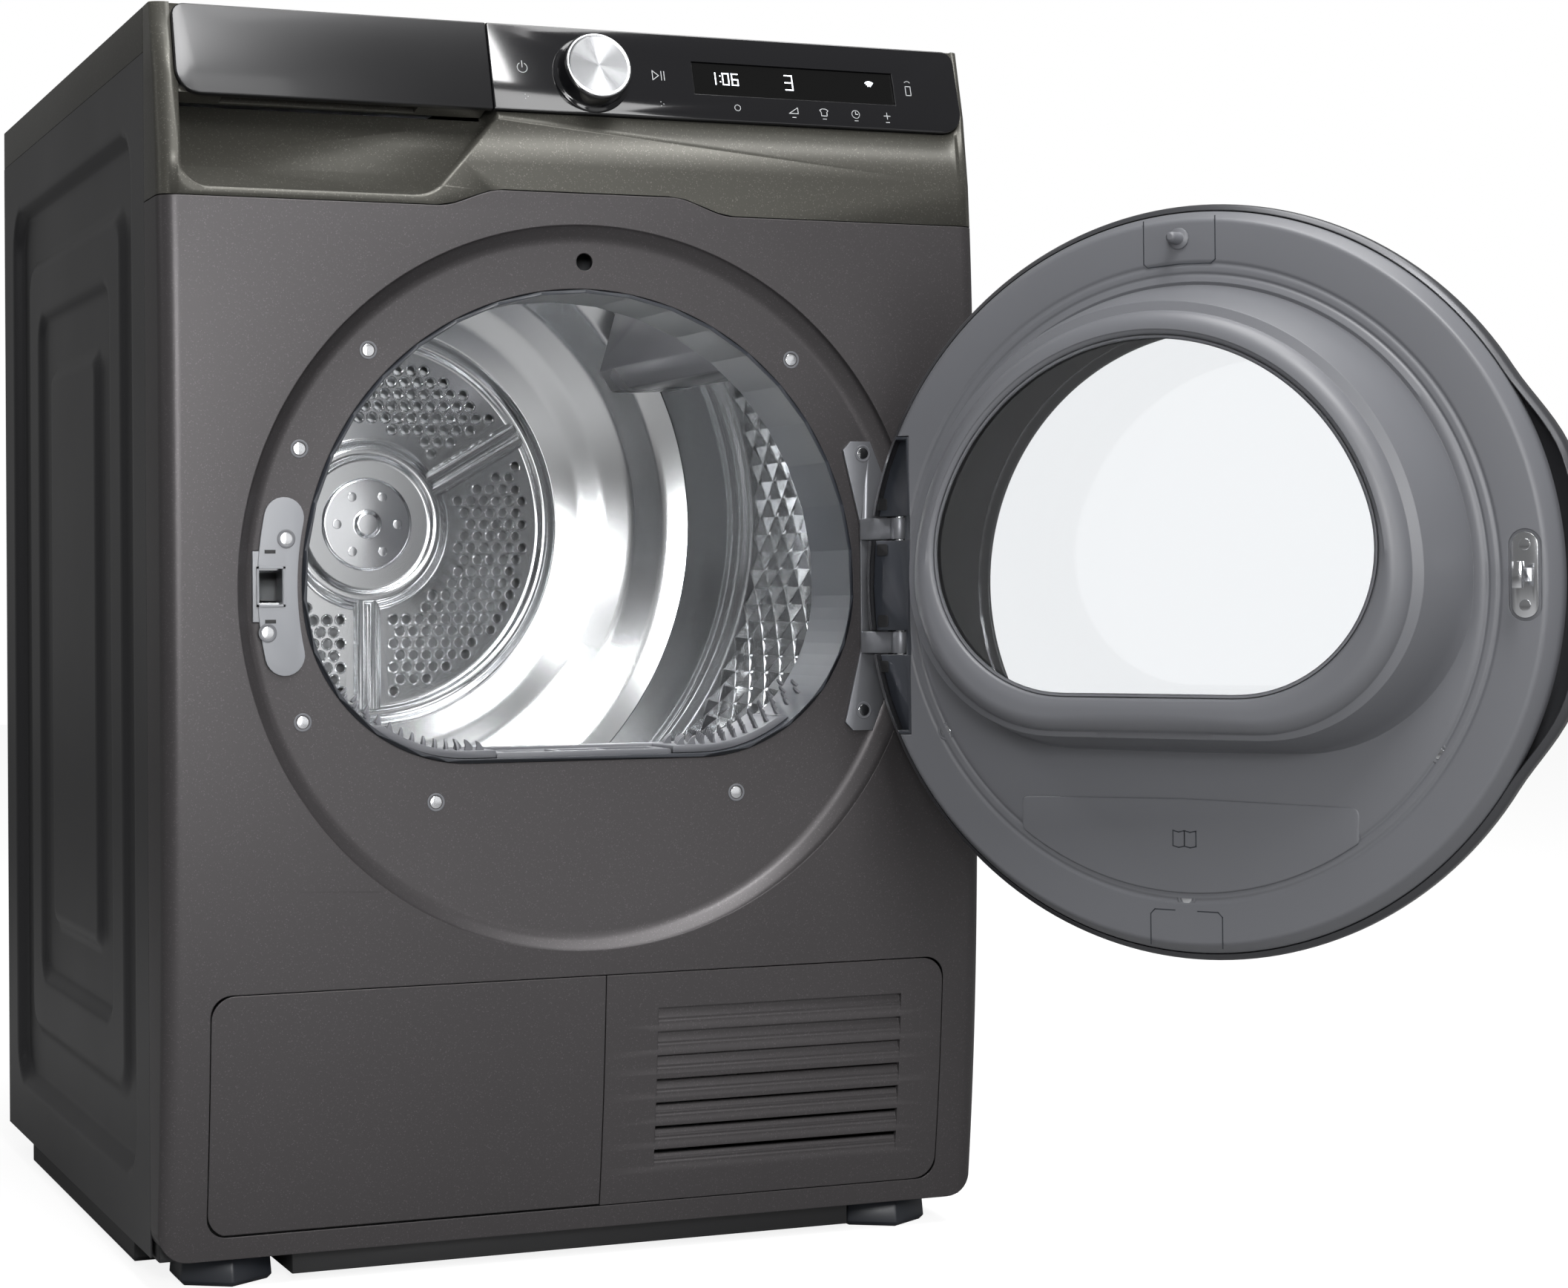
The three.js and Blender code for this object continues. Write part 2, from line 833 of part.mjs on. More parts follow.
piece(
  dryer,
  "drive_motor",
  cut(
    join(
      turnedY(
        [
          [0, motorFront],
          [26, motorFront],
          [motorRadius - 6, motorFront + 14],
          [motorRadius, motorFront + 24],
          [motorRadius, motorBack - 24],
          [motorRadius - 6, motorBack - 14],
          [26, motorBack],
          [0, motorBack],
        ],
        motorX,
        motorZ,
        24,
      ),
      box(motorX - 38, motorX + 38, -34, 38, trayFloor, motorZ - 30),
    ),
    cylinder(
      "y",
      [motorX, motorZ],
      rotorShaft + slack,
      motorFront - 1,
      motorBack + 1,
      16,
    ),
  ),
  castMetal,
);

// Motor rotor: shaft with the belt pulley, and the blower wheel on its front end
const rotor = new THREE.Group();
rotor.position.set(motorX, 0, motorZ);
dryer.add(rotor);
const flangeOver = 4;
piece(
  rotor,
  "motor_rotor",
  turnedY(
    [
      [0, motorFront - 62],
      [rotorShaft, motorFront - 62],
      [rotorShaft, beltY - beltWidth / 2 - 5],
      [pulleyRadius + flangeOver, beltY - beltWidth / 2 - 4],
      [pulleyRadius + flangeOver, beltY - beltWidth / 2 - 2],
      [pulleyRadius, beltY - beltWidth / 2 - 1],
      [pulleyRadius, beltY + beltWidth / 2 + 1],
      [pulleyRadius + flangeOver, beltY + beltWidth / 2 + 2],
      [pulleyRadius + flangeOver, beltY + beltWidth / 2 + 4],
      [0, beltY + beltWidth / 2 + 4],
    ],
    0,
    0,
    20,
  ),
  castMetal,
);
const bladeCount = 8;
const wheelRadius = 60;
const wheelY = [motorFront - 54, motorFront - 20];
function blowerWheel() {
  let wheel = join(
    turnedY(
      [
        [rotorShaft + gap, wheelY[0] + 4],
        [14, wheelY[0] + 4],
        [16, wheelY[1] - 4],
        [wheelRadius, wheelY[1] - 3],
        [wheelRadius, wheelY[1]],
        [rotorShaft + gap, wheelY[1]],
      ],
      0,
      0,
      20,
    ),
    turnedY(
      [
        [wheelRadius - 16, wheelY[0]],
        [wheelRadius, wheelY[0]],
        [wheelRadius, wheelY[0] + 2.5],
        [wheelRadius - 16, wheelY[0] + 2.5],
      ],
      0,
      0,
      20,
    ),
  );
  for (let i = 0; i < bladeCount; i++) {
    const blade = new THREE.BoxGeometry(22, wheelY[1] - wheelY[0] - 2, 2.4);
    blade.rotateY(0.5).translate(wheelRadius - 12, (wheelY[0] + wheelY[1]) / 2, 0);
    blade.rotateY((i * 2 * Math.PI) / bladeCount);
    wheel = wheel.add(solid(blade));
  }
  return wheel;
}
piece(rotor, "blower_wheel", blowerWheel(), whitePlastic);

// Drive belt: a loop round the drum and the motor pulley
const beltOnDrum = drumRadius + 1.2; // a little clear, so that the drum's flats don't reach it
const beltOnPulley = pulleyRadius + gap;
const toPulley = new THREE.Vector2(motorX, motorZ - drumZ);
const beltLean = Math.acos((beltOnDrum - beltOnPulley) / toPulley.length());
function beltLoop(grow, Kind) {
  const way = toPulley.angle();
  const loop = new Kind();
  const drumArc = [way + beltLean, way - beltLean + 2 * Math.PI];
  loop.absarc(0, drumZ, beltOnDrum + grow, ...drumArc);
  const pulleyArc = [way - beltLean, way + beltLean];
  loop.absarc(motorX, motorZ, beltOnPulley + grow, ...pulleyArc);
  loop.closePath();
  return loop;
}
function driveBelt() {
  const loop = beltLoop(beltThick, THREE.Shape);
  loop.holes.push(beltLoop(0, THREE.Path));
  return facing(loop, beltY - beltWidth / 2, beltY + beltWidth / 2, 32);
}
piece(dryer, "drive_belt", driveBelt(), rubber);

// Idler pulley, which bears on the outside of the belt between drum and motor
const idler = new THREE.Group();
const idlerSide = toPulley.angle() - beltLean;
const idlerPoint = toPulley
  .clone()
  .multiplyScalar(idlerShare)
  .add(
    new THREE.Vector2(Math.cos(idlerSide), Math.sin(idlerSide)).multiplyScalar(
      beltOnDrum -
        (beltOnDrum - beltOnPulley) * idlerShare +
        beltThick +
        idlerRadius +
        gap,
    ),
  );
idler.position.set(idlerPoint.x, 0, drumZ + idlerPoint.y);
dryer.add(idler);
piece(
  idler,
  "idler_pulley",
  turnedY(
    [
      [idlerBore, beltY - idlerHalf],
      [idlerRadius, beltY - idlerHalf],
      [idlerRadius, beltY + idlerHalf],
      [idlerBore, beltY + idlerHalf],
    ],
    0,
    0,
    20,
  ),
  whitePlastic,
);

// Front bulkhead: carries the collar and the two drum rollers
const bulkheadY = flangeY + 11;
const bulkheadThick = 3;
const rollerReach = drumRadius + rollerRadius + 0.5;
const rollers = [-1, 1].map((side) => [
  side * rollerReach * Math.sin(rollerAngle),
  drumZ - rollerReach * Math.cos(rollerAngle),
]);
const rollerPin = 5;
const rollerY = [drumFrontY + 8, drumFrontY + 20];
function frontBulkhead() {
  const half = halfWidth - 4;
  const plate = facing(
    roundedRectangle(-half, basementHeight - 28, half, panelZ - 3, 8),
    bulkheadY,
    bulkheadY + bulkheadThick,
    3,
  );
  const pins = rollers.map((at) =>
    cylinder("y", at, rollerPin, bulkheadY + 1, rollerY[1] + 4, 14),
  );
  return cut(
    join(plate, ...pins),
    facing(openingOutline(collarWall + gap), bulkheadY - 1, rollerY[0], 10),
  );
}
piece(dryer, "front_bulkhead", frontBulkhead(), galvanised);
["left", "right"].forEach((side, i) => {
  const roller = new THREE.Group();
  roller.position.set(rollers[i][0], 0, rollers[i][1]);
  dryer.add(roller);
  const wheel = turnedY(
    [
      [rollerPin + gap, rollerY[0]],
      [rollerRadius - 3, rollerY[0]],
      [rollerRadius, rollerY[0] + 2],
      [rollerRadius, rollerY[1] - 2],
      [rollerRadius - 3, rollerY[1]],
      [rollerPin + gap, rollerY[1]],
    ],
    0,
    0,
    24,
  );
  piece(roller, `drum_roller_${side}`, wheel, darkPlastic);
});

// Collar: the flat-footed ring between the front panel and the drum, with a slot for the lint filter
const collarY = [recessFloorY - 1.5, drumFrontY - 4];
const filterHalf = 64;
const filterTaper = 16; // the pouch's foot is this much narrower on each side
const grilleThick = 5;
const filterY = [-281, -244];
const ledgeZ = openingZ - openingFlat + 2; // top of the collar's flat foot
const filterFootZ = hatchHeadZ + 18.6; // the pouch ends clear of the exchanger's cover
const filterSlot = (grow, z0, z1) =>
  box(
    -filterHalf - grow,
    filterHalf + grow,
    filterY[0] - grow,
    filterY[1] + grow,
    z0,
    z1,
  );
piece(
  dryer,
  "opening_collar",
  cut(
    join(
      facing(openingOutline(0), ...collarY, 10),
      facing(
        openingOutline(collarFlange),
        recessFloorY + frontSheet + gap,
        recessFloorY + frontSheet + gap + 2,
        10,
      ),
    ),
    facing(openingOutline(-collarWall), collarY[0] - 1, collarY[1] + 1, 10),
    filterSlot(1, ledgeZ - 20, ledgeZ + 6),
  ),
  darkPlastic,
);

// Grille over the collar's foot on both sides of the filter
const grilleTop = ledgeZ + grilleThick;
function filterGrille() {
  const ring = cut(
    facing(
      openingOutline(-collarWall - gap),
      filterY[0] - 1,
      collarY[1] - 1,
      10,
    ),
    facing(
      openingOutline(-collarWall - gap - grilleThick),
      filterY[0] - 2,
      collarY[1],
      10,
    ),
  );
  const low = box(
    -openingRadius,
    openingRadius,
    filterY[0] - 3,
    collarY[1] + 1,
    ledgeZ - 10,
    ledgeZ + openingRadius * 0.12,
  );
  return cut(ring.intersect(low), filterSlot(1, ledgeZ - 20, ledgeZ + 40));
}
piece(dryer, "filter_grille", filterGrille(), greyPlastic);

// Lint filter: a tapered pouch with a grip between two mouths, lifts straight up
function lintFilter() {
  const top = facing(
    roundedRectangle(-filterHalf, ledgeZ - 1, filterHalf, grilleTop - 1, 2),
    ...filterY,
    2,
  );
  const pouchShape = (wall) =>
    polygon([
      [-filterHalf + 4 + wall, ledgeZ + (wall ? 20 : 0)],
      [-filterHalf + filterTaper + wall, filterFootZ + wall],
      [filterHalf - filterTaper - wall, filterFootZ + wall],
      [filterHalf - 4 - wall, ledgeZ + (wall ? 20 : 0)],
    ]);
  const pouch = facing(pouchShape(0), filterY[0] + 3, filterY[1] - 3);
  const hollow = facing(pouchShape(2), filterY[0] + 5, filterY[1] - 5);
  const bridge = box(
    -18,
    18,
    filterY[0] + 3,
    filterY[1] - 3,
    ledgeZ - 12,
    grilleTop - 1,
  );
  const grip = box(
    -14,
    14,
    filterY[0] + 9,
    filterY[1] - 12,
    ledgeZ - 1,
    grilleTop - 0.6,
  );
  const well = box(
    -14,
    14,
    filterY[0] + 8,
    filterY[0] + 16,
    ledgeZ - 8,
    grilleTop + 1,
  );
  return cut(join(cut(join(top, pouch), hollow), bridge, grip), well);
}
piece(dryer, "lint_filter", lintFilter(), greyPlastic);

// Drum: shell, dished back, rear hub with its shaft, and the lifters
const drum = new THREE.Group();
drum.position.set(0, 0, drumZ);
dryer.add(drum);
const drumInner = drumRadius - drumWall;
const drumLip = openingRadius + drumLipReach;
piece(
  drum,
  "drum_shell",
  turnedY(
    [
      [drumLip, drumFrontY],
      [drumRadius - 8, drumFrontY],
      [drumRadius, drumFrontY + 4],
      [drumRadius, beadY - 12],
      [drumRadius - beadDepth, beadY - 4],
      [drumRadius - beadDepth, beadY + 4],
      [drumRadius, beadY + 12],
      [drumRadius, drumSeamY],
      [drumInner, drumSeamY],
      [drumInner, beadY + beadHalf],
      [drumInner - beadDepth, beadY + 4.6],
      [drumInner - beadDepth, beadY - 4.6],
      [drumInner, beadY - beadHalf],
      [drumInner, drumFrontY + 5],
      [drumInner - 7, drumFrontY + drumWall],
      [drumLip, drumFrontY + drumWall],
    ],
    0,
    0,
    drumSides,
  ),
  steel,
);
const discRadius = drumRadius * 0.615; // of the flat disc in the drum's back
piece(
  drum,
  "drum_back",
  turnedY(
    [
      [0, drumBackY - drumWall],
      [discRadius, drumBackY - drumWall],
      [drumRadius - 20, drumSeamY + 6],
      [drumInner - gap, drumSeamY - 2],
      [drumInner - gap, drumSeamY],
      [drumRadius - 19, drumSeamY + 6 + drumWall],
      [discRadius + 1, drumBackY],
      [0, drumBackY],
    ],
    0,
    0,
    drumSides,
  ),
  steel,
);
piece(
  drum,
  "drum_hub",
  turnedY(
    [
      [0, drumBackY + gap],
      [hubRadius, drumBackY + gap],
      [hubRadius, drumBackY + 3],
      [30, drumBackY + 5],
      [shaftRadius, drumBackY + 7],
      [shaftRadius, rearSheetY - 12],
      [0, rearSheetY - 12],
    ],
    0,
    0,
    24,
  ),
  castMetal,
);
const lifterY = [drumFrontY + lifterStart, drumFrontY + lifterStart + lifterLength];
function lifter(angle) {
  const wall = drumInner * Math.cos(Math.PI / drumSides) - gap;
  const base = Math.sqrt(wall ** 2 - (lifterBase / 2) ** 2);
  const crest = base - lifterHeight;
  const section = polygon([
    [base, -lifterBase / 2],
    [base, lifterBase / 2],
    [crest + 6, 15],
    [crest, 10],
    [crest, -10],
    [crest + 6, -15],
  ]);
  const body = extruded(section, lifterY[1] - lifterY[0], 1, 2);
  body.applyMatrix4(frontBasis).translate(0, lifterY[1], 0);
  bend(body, (p) => {
    const end = p.y > 0 ? -1 : 1;
    if (p.x < base - 1) p.y += end * lifterTaper;
    return p;
  });
  const overBead = turnedY(
    [
      [drumInner - beadDepth - gap, beadY - beadHalf - slack],
      [drumRadius, beadY - beadHalf - slack],
      [drumRadius, beadY + beadHalf + slack],
      [drumInner - beadDepth - gap, beadY + beadHalf + slack],
    ],
    0,
    0,
    drumSides,
  );
  return cut(solid(body.rotateY(-angle)), overBead);
}
for (let i = 0; i < lifterCount; i++) {
  const angle = lifterAngle + (i * 2 * Math.PI) / lifterCount;
  piece(drum, `drum_lifter_${i + 1}`, lifter(angle), steel);
}

// Rear bulkhead, which closes the air path behind the drum and bears the shaft
const rearBulkheadY = drumBackY + 12;
function rearBulkhead() {
  const half = halfWidth - sheet - embossDepth - 4;
  return cut(
    join(
      facing(
        roundedRectangle(-half, basementHeight - 10, half, panelZ + 20, 30),
        rearBulkheadY,
        rearBulkheadY + 2.5,
        4,
      ),
      cylinder(
        "y",
        [0, drumZ],
        shaftRadius + 14,
        rearBulkheadY,
        rearBulkheadY + 18,
        24,
      ),
    ),
    cylinder(
      "y",
      [0, drumZ],
      shaftRadius + gap,
      rearBulkheadY - 1,
      rearBulkheadY + 20,
      24,
    ),
  );
}
piece(dryer, "rear_bulkhead", rearBulkhead(), galvanised);

// Latch receiver: a plate that follows the opening, with a box for the striker and its two rollers
const latchPlateHalf = 52;
const latchMouthX = [latchX - 9, latchX + 7];
const latchPlateRadii = [43, 16]; // its two edges inside the recess's radius
function latchReceiver() {
  const plate = new THREE.Shape();
  const [inner, outer] = latchPlateRadii.map((inset) => recessRadius - inset);
  const spread = latchPlateHalf / recessRadius;
  const end = 12;
  const middle = (inner + outer) / 2;
  plate.absarc(0, latchZ, outer, Math.PI - spread, Math.PI + spread);
  const turnEnd = (a, from) => {
    const x = middle * Math.cos(a);
    const z = latchZ + middle * Math.sin(a);
    plate.absarc(x, z, (outer - inner) / 2, from, from + Math.PI);
  };
  turnEnd(Math.PI + spread, Math.PI + spread);
  plate.absarc(0, latchZ, inner, Math.PI + spread, Math.PI - spread, true);
  turnEnd(Math.PI - spread, 2 * Math.PI - spread);
  const plateY = [recessFloorY - 2.4, recessFloorY - gap];
  const { x0, x1, half, depth } = latchBox;
  const face = box(
    ...latchMouthX,
    recessFloorY - 3,
    recessFloorY + 1,
    latchZ - end,
    latchZ + end,
  );
  return cut(
    join(
      facing(plate, ...plateY, 6),
      box(x0, x1, plateY[0] + 1, plateY[1] + depth, latchZ - half, latchZ + half),
    ),
    box(
      x0 + 2,
      x1 - 2,
      plateY[1] + 1,
      plateY[1] + depth + 1,
      latchZ - half + 2,
      latchZ + half - 2,
    ),
    face,
  );
}
piece(dryer, "latch_receiver", latchReceiver(), palePlastic);
const latchRoller = 4;
const latchRollerZ = 13.2;
const latchRollerY = recessFloorY + 7;
[
  ["upper", 1],
  ["lower", -1],
].forEach(([side, way]) =>
  piece(
    dryer,
    `latch_roller_${side}`,
    cylinder(
      "x",
      [latchRollerY, latchZ + way * latchRollerZ],
      latchRoller,
      ...latchMouthX,
      14,
    ),
    brightMetal,
  ),
);

// Hinge bracket: plate on the recess floor with two arms that end in eyes round the pin
const armZ = [doorZ - hingeArmHalf, doorZ + hingeArmHalf];
const armRoot = [hingeX - 16.3, recessFloorY - 2];
const eyeRadius = 6.5;
function hingeBracket() {
  const half = padHalf - 1;
  const edge = hingeX - 18; // the waist's left edge
  const plate = polygon([
    [edge - 7, doorZ + half],
    [edge + 11, doorZ + half],
    [edge + 21, doorZ + half - 25],
    [edge + 21, doorZ - half + 25],
    [edge + 11, doorZ - half],
    [edge - 7, doorZ - half],
    [edge - 13, doorZ - half + 6],
    [edge, doorZ - hingeArmHalf - 4],
    [edge, doorZ + hingeArmHalf + 4],
    [edge - 13, doorZ + half - 6],
  ]);
  const floor = cylinder(
    "y",
    [0, recessZ],
    recessRadius - recessDraft - gap,
    recessFloorY - 3,
    recessFloorY,
    56,
  );
  const way = new THREE.Vector2(hingeX, hingeY).sub(
    new THREE.Vector2(...armRoot),
  );
  const across = new THREE.Vector2(-way.y, way.x).setLength(3);
  const strip = polygon([
    [armRoot[0] + across.x, armRoot[1] + across.y],
    [armRoot[0] - across.x, armRoot[1] - across.y],
    [hingeX - across.x, hingeY - across.y],
    [hingeX + across.x, hingeY + across.y],
  ]);
  const arms = armZ.flatMap((z) => [
    plan(strip, z - hingeArm / 2, z + hingeArm / 2),
    cylinder(
      "z",
      [hingeX, hingeY],
      eyeRadius,
      z - hingeArm / 2,
      z + hingeArm / 2,
      20,
    ),
  ]);
  const bores = armZ.map((z) =>
    cylinder("z", [hingeX, hingeY], hingePin + gap, z - hingeArm, z + hingeArm, 20),
  );
  return cut(
    join(
      facing(plate, recessFloorY - 2.7, recessFloorY - gap).intersect(floor),
      ...arms,
    ),
    ...bores,
    box(
      hingeX - 60,
      hingeX + 60,
      recessFloorY - gap,
      recessFloorY + 20,
      doorZ - half,
      doorZ + half,
    ),
  );
}
piece(dryer, "hinge_bracket", hingeBracket(), castMetal);

// Door, drawn closed in the cabinet's coordinates and turned open about the hinge
const door = new THREE.Group();
door.position.set(hingeX, hingeY, 0);
door.rotation.z = doorRestAngle;
dryer.add(door);
const inDoor = new THREE.Group();
inDoor.position.set(-hingeX, -hingeY, 0);
door.add(inDoor);

// The space that the bracket's arms sweep as the door turns round them
const armAngle = Math.atan2(armRoot[1] - hingeY, armRoot[0] - hingeX);
const sweepMargin = THREE.MathUtils.degToRad(20);
const sweepRadius = 34;
function armSweeps() {
  const sweep = new THREE.Shape();
  sweep.moveTo(hingeX, hingeY);
  sweep.absarc(
    hingeX,
    hingeY,
    sweepRadius,
    armAngle - doorSwing - sweepMargin,
    armAngle + sweepMargin,
  );
  return armZ.flatMap((z) => {
    const reach = [z - hingeArm / 2 - 1, z + hingeArm / 2 + 1];
    return [
      plan(sweep, ...reach, 12),
      cylinder("z", [hingeX, hingeY], eyeRadius + 1.5, ...reach, 20),
    ];
  });
}

// How far the door's edge is pushed out at an angle, for the grip on its free side
function bulgeAt(angle) {
  const off = Math.abs(Math.atan2(Math.sin(angle - Math.PI), Math.cos(angle - Math.PI)));
  const flat = THREE.MathUtils.degToRad(16); // half the grip at its full height
  const fade = THREE.MathUtils.degToRad(16);
  return handleBulge * THREE.MathUtils.smoothstep((flat + fade - off) / fade, 0, 1);
}
function bulge(p) {
  const r = Math.hypot(p.x, p.z);
  const start = doorRadius - 45; // the push grows from here over 40 mm
  if (r <= start) return p;
  const share = Math.min((r - start) / 40, 1);
  const grown = r + bulgeAt(Math.atan2(p.z, p.x)) * share;
  p.x *= grown / r;
  p.z *= grown / r;
  return p;
}
const paneRadius = windowRadius + 12;
piece(
  inDoor,
  "door_outer_shell",
  cut(
    turnedY(
      [
        [doorRadius - 4.5, shellLipY],
        [doorRadius, shellLipY - 3.5],
        [doorRadius, shellLipY - shellSkirt],
        [doorRadius - 5, shellLipY - 23.5],
        [doorRadius - 18, shellLipY - 32.5],
        [doorRadius - 48, doorFaceY + 2],
        [paneRadius, doorFaceY],
        [paneRadius, doorFaceY + doorWall],
        [doorRadius - 48, doorFaceY + 2 + doorWall],
        [doorRadius - 19, shellLipY - 29.5],
        [doorRadius - 8, shellLipY - 21.5],
        [doorRadius - doorWall, shellLipY - shellSkirt],
        [doorRadius - doorWall, shellLipY - 4],
      ],
      0,
      doorZ,
      48,
      bulge,
    ),
    ...armSweeps(),
  ),
  darkPlastic,
);
piece(
  inDoor,
  "door_outer_pane",
  turnedY(
    [
      [0, doorFaceY + doorWall + gap],
      [paneRadius + 7, doorFaceY + doorWall + gap + 0.6],
      [paneRadius + 7, doorFaceY + doorWall + gap + 3.6],
      [0, doorFaceY + doorWall + gap + 3],
    ],
    0,
    doorZ,
    48,
  ),
  clearGlass,
);

// Inner frame: a flat rim with a skirt, and a shroud that reaches into the drum's mouth
const shroudDepth = 60;
const shroudInset = 58;
const shroudNarrowing = 0.095; // how much narrower its front is
const frameWall = 2.5;
const paneThick = 4;
const shroudRadius = doorRadius - shroudInset;
const shroudFlat = shroudRadius * 0.575;
const shroudFoot = shroudRadius * 0.41;
const shroudZ = openingZ - 1;
const shroudBack = doorRimY - 0.8;
const shroudFront = shroudBack + shroudDepth;
const shroudOutline = (inset) =>
  flattenedCircle(
    shroudRadius - inset,
    shroudFlat - inset,
    shroudFoot,
    shroudZ,
  );
const shroudTaper = (p) => {
  const share = THREE.MathUtils.clamp((p.y - shroudBack) / shroudDepth, 0, 1);
  const scale = 1 - shroudNarrowing * share ** 1.7;
  p.x *= scale;
  p.z = shroudZ + (p.z - shroudZ) * scale;
  return p;
};
const windowOutline = (grow) =>
  flattenedCircle(
    windowRadius + grow,
    windowRadius * 0.487 + grow,
    windowRadius * 0.385,
    shroudZ,
  );
const padX = hingeX - 22; // left edge of the hinge pocket in the inner frame
function innerFrame() {
  const rim = turnedY(
    [
      [shroudRadius - 3, doorRimY],
      [doorRadius - rimInset, doorRimY],
      [doorRadius - skirtInset, rimTurnY],
      [doorRadius - skirtInset, rimSkirtY],
      [doorRadius - skirtInset - 2.4, rimSkirtY],
      [doorRadius - skirtInset - 2.4, rimTurnY - 0.6],
      [doorRadius - 13, doorRimY - frameWall],
      [shroudRadius - 3, doorRimY - frameWall],
    ],
    0,
    doorZ,
    48,
  );
  const filled = facing(
    flattenedCircle(
      shroudRadius + 8,
      shroudRadius * 0.99,
      shroudFoot * 0.3,
      doorZ,
    ),
    doorRimY - frameWall,
    doorRimY,
    10,
  );
  const shroud = facing(
    shroudOutline(0),
    shroudBack,
    shroudFront,
    10,
    shroudTaper,
    4,
  );
  const hollow = facing(
    shroudOutline(frameWall),
    shroudBack - 3,
    shroudFront - frameWall,
    10,
    shroudTaper,
    4,
  );
  const striker = box(
    latchX - 10,
    latchX + 10,
    doorRimY - 1.4,
    doorRimY + 1,
    latchZ - 28,
    latchZ + 28,
  );
  return cut(
    join(rim, filled, shroud),
    hollow,
    facing(windowOutline(0), shroudFront - 10, shroudFront + 1, 10),
    box(
      padX,
      doorRadius + 5,
      doorRimY - 30,
      doorRimY + 1,
      doorZ - padHalf,
      doorZ + padHalf,
    ),
    striker,
    ...armSweeps(),
  );
}
piece(inDoor, "door_inner_frame", innerFrame(), greyPlastic);
piece(
  inDoor,
  "door_window",
  facing(
    windowOutline(4),
    shroudFront - frameWall - gap - paneThick,
    shroudFront - frameWall - gap,
    10,
  ),
  clearGlass,
);

// Hinge block: a trough in the inner frame with three knuckles for the pin
const troughFloor = rimSkirtY;
const troughWall = 2;
const knuckleLength = 15;
const knuckles = [
  [armZ[0] - hingeArm / 2 - 1 - knuckleLength, armZ[0] - hingeArm / 2 - 1],
  [armZ[0] + hingeArm / 2 + 1, armZ[1] - hingeArm / 2 - 1],
  [armZ[1] + hingeArm / 2 + 1, armZ[1] + hingeArm / 2 + 1 + knuckleLength],
];
function hingeBlock() {
  const x0 = padX + gap;
  const z0 = doorZ - padHalf + gap;
  const z1 = doorZ + padHalf - gap;
  const tub = cut(
    box(x0, doorRadius, troughFloor - 2.5, doorRimY - 0.5, z0, z1),
    box(
      x0 + troughWall,
      doorRadius + 1,
      troughFloor,
      doorRimY + 1,
      z0 + troughWall,
      z1 - troughWall,
    ),
  );
  const within = turnedY(
    [
      [0, doorRimY + 1],
      [doorRadius - rimInset, doorRimY + 1],
      [doorRadius - skirtInset, rimTurnY],
      [doorRadius - skirtInset, shellLipY - shellSkirt],
      [doorRadius - skirtInset - 5, troughFloor - troughDepth],
      [0, troughFloor - troughDepth],
    ],
    0,
    doorZ,
    56,
  );
  const rounds = knuckles.map(([a, b]) =>
    cylinder("z", [hingeX, hingeY], eyeRadius, a, b, 16),
  );
  return cut(
    join(tub, ...rounds).intersect(within),
    cylinder(
      "z",
      [hingeX, hingeY],
      hingePin + gap,
      knuckles[0][0] - 1,
      knuckles[2][1] + 1,
      16,
    ),
    ...armSweeps(),
  );
}
piece(inDoor, "door_hinge_block", hingeBlock(), darkPlastic);
piece(
  inDoor,
  "door_hinge_pin",
  cylinder(
    "z",
    [hingeX, hingeY],
    hingePin,
    knuckles[0][0] + 2,
    knuckles[2][1] - 2,
    20,
  ),
  brightMetal,
);

// Striker and locating pin on the inner frame
const strikerY = doorRimY - 1.4 + gap;
piece(
  inDoor,
  "door_striker",
  join(
    facing(
      roundedRectangle(latchX - 8, latchZ - 26, latchX + 8, latchZ + 26, 7.9),
      strikerY,
      strikerY + 1.6,
      6,
    ),
    box(latchX - 4, latchX + 2, strikerY + 1, strikerY + 19, latchZ - 4, latchZ + 4),
    box(latchX - 4, latchX + 2, strikerY + 15, strikerY + 20, latchZ - 8, latchZ + 8),
  ),
  brightMetal,
);
piece(
  inDoor,
  "door_locating_pin",
  turnedY(
    [
      [0, doorRimY + gap],
      [7, doorRimY + gap],
      [7, doorRimY + 1.6],
      [4, doorRimY + 2.2],
      [3.4, doorRimY + 13],
      [2, doorRimY + 14.5],
      [0, doorRimY + 14.5],
    ],
    0,
    pinZ,
    16,
  ),
  greyPlastic,
);

// Fascia: the upper front, with the finger pocket and openings for the drawer and controls
const panelX = [-halfWidth + panelLeft, halfWidth - panelRight];
const drawerX = [panelX[0], panelX[0] + drawerWidth];
const slope = panelHeight / Math.cos(panelTilt);
const tilted = new THREE.Group();
tilted.position.set(0, frontAt(panelZ), panelZ);
tilted.rotation.x = -panelTilt;
dryer.add(tilted);
tilted.updateMatrix();

// A box in the tilted panel's own x, depth and slope.
function tiltedBox(x0, x1, y0, y1, s0, s1) {
  const block = new THREE.BoxGeometry(x1 - x0, y1 - y0, s1 - s0);
  block.translate((x0 + x1) / 2, (y0 + y1) / 2, (s0 + s1) / 2);
  return solid(block.applyMatrix4(tilted.matrix));
}
function tiltedFacing(shape, y0, y1) {
  const body = extruded(shape, y1 - y0, 1, 5);
  body.applyMatrix4(frontBasis).translate(0, y1, 0);
  return solid(body.applyMatrix4(tilted.matrix));
}

